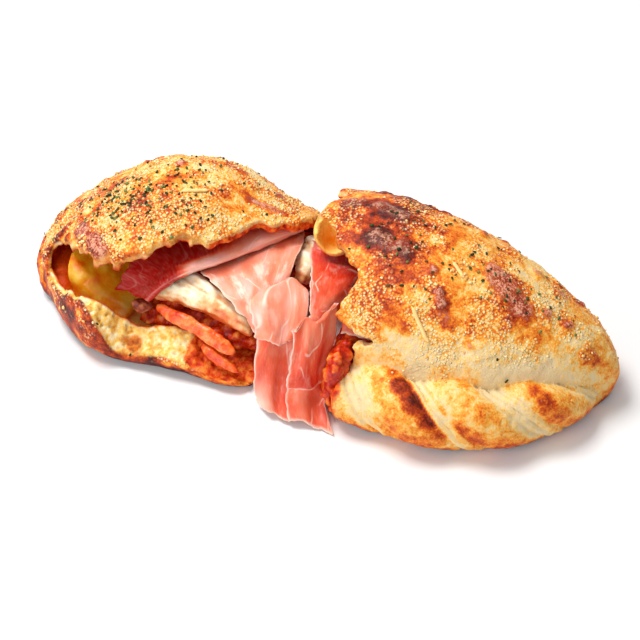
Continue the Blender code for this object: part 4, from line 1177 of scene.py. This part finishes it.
def stage():
    """Pale floor, soft light and the camera."""
    mesh = bpy.data.meshes.new("floor")
    build = bmesh.new()
    bmesh.ops.create_grid(build, x_segments=1, y_segments=1, size=3.0)
    build.to_mesh(mesh)
    build.free()
    floor = bpy.data.objects.new("floor", mesh)
    bpy.context.scene.collection.objects.link(floor)
    finish = Finish("floor", roughness=0.8)
    finish.set("Base Color", (0.9, 0.9, 0.9))
    floor.data.materials.append(finish.material)
    world = bpy.data.worlds.new("studio")
    world.use_nodes = True
    background = world.node_tree.nodes["Background"]
    background.inputs["Color"].default_value = (1, 1, 1, 1)
    background.inputs["Strength"].default_value = WORLD_STRENGTH
    bpy.context.scene.world = world
    for name, place, size, power in LIGHTS:
        light = bpy.data.lights.new(name, "AREA")
        light.size = size
        light.energy = power
        lamp = bpy.data.objects.new(name, light)
        lamp.location = place
        lamp.rotation_mode = "QUATERNION"
        lamp.rotation_quaternion = Vector(place).to_track_quat("Z", "Y")
        bpy.context.scene.collection.objects.link(lamp)
    eye = bpy.data.objects.new("camera", bpy.data.cameras.new("camera"))
    eye.data.lens = LENS
    eye.data.clip_start, eye.data.clip_end = 0.05, 20
    a, e = CAMERA_AZIMUTH, CAMERA_ELEVATION
    back = Vector((math.sin(a) * math.cos(e), -math.cos(a) * math.cos(e), math.sin(e)))
    eye.location = CAMERA_TARGET + back * CAMERA_DISTANCE
    eye.rotation_mode = "QUATERNION"
    eye.rotation_quaternion = (-back).to_track_quat("-Z", "Y")
    bpy.context.scene.collection.objects.link(eye)
    bpy.context.scene.camera = eye
    bpy.context.scene.view_settings.view_transform = "Standard"


# ---- what is sprinkled on the dough ------------------------------------------------------------------

# Clumps of cheese as (x, degrees), and shreds as the x and degrees of both ends
RIGHT_CLUMPS = [(54, 88), (69, 93), (66, 101), (73, 102), (59, 114), (74, 159)]
LEFT_CLUMPS = [(-95, 136), (-90, 119), (-107, 106), (-99, 130)]
RIGHT_SHREDS = [(55, 128, 66, 143), (64, 98, 71, 104)]
LEFT_SHREDS = [(-62, 95, -52, 88)]
CLUMP_COUNT, CLUMP_REACH = 9, 2.6
SHRED_RADIUS, SHRED_STEPS, SHRED_SIDES = 0.9, 16, 8


def herb_patch(half, points):
    """Where herbs fell: thickly over the left half's top, thinly along the right half's."""
    x, y, z = points.T
    degrees = dome_at(half, x, y, z)[1]
    if half[3] < 0:
        thick = np.exp(-(((x + 78) / 24) ** 2) - ((degrees - 98) / 17) ** 2)
        return thick * (0.4 + step(smooth_noise(x, y, z, 8.0, 61), -0.4, 0.4)) + 0.03
    return step(x, 15, 30) * step(x, 130, 90) * np.exp(-(((degrees - 92) / 22) ** 2)) + 0.02


def sprinkles(halves):
    """Cheese crumbs, clumps, shreds and herb flakes over both halves, one piece of each kind."""
    draw = np.random.default_rng(5)
    kinds = dict(cheese_crumbs=[], cheese_shreds=[], herb_flakes=[])
    for half, points, quads, facing, values, clumps, shreds, grated, herbs in halves:
        weight = values["cheese"] ** 1.5 * step(facing[:, 2], -0.1, 0.4)
        spots = chosen(draw, points, quads, weight, grated)
        radii = draw.uniform(0.3, 0.8, (grated, 1))
        for x, degrees in clumps:
            near = np.linalg.norm(points - on_dome(half, x, degrees, 1.0), axis=1)
            inside = np.flatnonzero(near < near.min() + CLUMP_REACH)
            spots = np.concatenate([spots, draw.choice(inside, CLUMP_COUNT)])
            radii = np.concatenate([radii, draw.uniform(0.5, 1.0, (CLUMP_COUNT, 1))])
        sizes = radii * draw.uniform(0.7, 1.3, (len(radii), 3))
        lumps = scattered(points[spots], facing[spots], sizes, sizes[:, 0] * 0.1, draw)
        tint = draw.uniform(0, 1, len(spots)).repeat(len(lumps[0]) // len(spots))
        kinds["cheese_crumbs"].append((*lumps, tint))
        for x0, degrees0, x1, degrees1 in shreds:
            kinds["cheese_shreds"].append(shred(points, facing, half, (x0, degrees0), (x1, degrees1)))
        patch = herb_patch(half, points) * values["skin"] * step(facing[:, 2], 0.1, 0.5)
        spots = chosen(draw, points, quads, patch, herbs)
        sizes = draw.uniform(0.4, 0.95, (herbs, 1)) * np.array([1.3, 0.85, 0.3])
        flakes = scattered(points[spots], facing[spots], sizes, sizes[:, 2] + 0.3, draw, 0.25, True)
        kinds["herb_flakes"].append((*flakes, draw.uniform(0, 1, herbs).repeat(len(flakes[0]) // herbs)))
    for (name, parts), finish in zip(kinds.items(), (crumb_finish(), crumb_finish(), herb_finish())):
        shift, all_faces = 0, []
        for lumps, faces, _ in parts:
            all_faces.append(faces + shift)
            shift += len(lumps)
        points, tint = (np.concatenate([part[n] for part in parts]) for n in (0, 2))
        dress(mesh_object(name, points, np.concatenate(all_faces), dict(tint=tint)), finish, "crust")


def shred(points, facing, half, start, end):
    """A thin, slightly bent strip of cheese lying on the dough between two places."""
    middle, up = [], []
    for share in np.linspace(0, 1, SHRED_STEPS):
        place = on_dome(half, *(a + (b - a) * share for a, b in zip(start, end)), 1.0)
        nearest = np.linalg.norm(points - place, axis=1).argmin()
        middle.append(points[nearest] + facing[nearest] * 0.5)
        up.append(facing[nearest])
    for _ in range(3):
        middle[1:-1] = [(a + 2 * b + c) / 4 for a, b, c in zip(middle, middle[1:], middle[2:])]
    up = np.mean(up, axis=0)
    across = unit(np.cross(np.gradient(np.array(middle), axis=0), up))
    number = np.arange(SHRED_STEPS)
    radius = SHRED_RADIUS * np.sqrt(np.clip(np.minimum(number, SHRED_STEPS - 1 - number) / 2, 0.02, 1))
    rings = []
    for turn in np.linspace(0, 2 * math.pi, SHRED_SIDES, endpoint=False):
        outward = math.cos(turn) * across + 0.7 * math.sin(turn) * up
        rings.append(np.array(middle) + radius[:, None] * outward)
    tube = np.stack(rings, axis=1).reshape(-1, 3)
    faces = []
    for k in range(SHRED_STEPS - 1):
        for n in range(SHRED_SIDES):
            a, b = k * SHRED_SIDES + n, k * SHRED_SIDES + (n + 1) % SHRED_SIDES
            faces += [(a, b + SHRED_SIDES, b), (a, a + SHRED_SIDES, b + SHRED_SIDES)]
    last = (SHRED_STEPS - 1) * SHRED_SIDES
    for n in range(1, SHRED_SIDES - 1):
        faces += [(0, n, n + 1), (last, last + n + 1, last + n)]
    return tube, np.array(faces), np.full(len(tube), 0.35)


def crumb_finish():
    """Grated cheese, from cream to toasted gold."""
    finish = Finish("cheese_crumbs", specular=0.3)
    tone = finish.add(finish.attribute("tint"), finish.times(finish.noise(2.0, 1.0), 0.3))
    stops = (0.15, 252, 228, 176), (0.55, 248, 206, 130), (1.0, 240, 170, 84)
    finish.set("Base Color", finish.ramp(tone, *stops))
    finish.soft(0.15, (1.0, 0.2, 0.1), 1.0)
    finish.bump(finish.noise(0.5), 0.15)
    return finish


def herb_finish():
    """Dried herbs, from nearly black to green."""
    finish = Finish("herbs", roughness=0.6, specular=0.2)
    stops = (0.15, 28, 42, 24), (0.6, 60, 84, 38), (1.0, 122, 138, 70)
    finish.set("Base Color", finish.ramp(finish.attribute("tint"), *stops))
    finish.bump(finish.noise(0.4), 0.1)
    return finish


# Each half with its name, spots, clumps, shreds, and how many crumbs and herb flakes lie on it
HALVES = [
    (LEFT_HALF, "crust_left", LEFT_SPOTS, LEFT_CLUMPS, LEFT_SHREDS, 1300, 300),
    (RIGHT_HALF, "crust_right", RIGHT_SPOTS, RIGHT_CLUMPS, RIGHT_SHREDS, 350, 110),
]

stage()
crust = crust_finish()
halves = []
for half, name, spots, *sprinkled in HALVES:
    points, quads, facing, values = crust_piece(half, spots)
    halves.append((half, points, quads, facing, values, *sprinkled))
    dress(mesh_object(name + "_baked", points, quads, values), crust, "crust", name)
sprinkles(halves)
ham()
fillings()
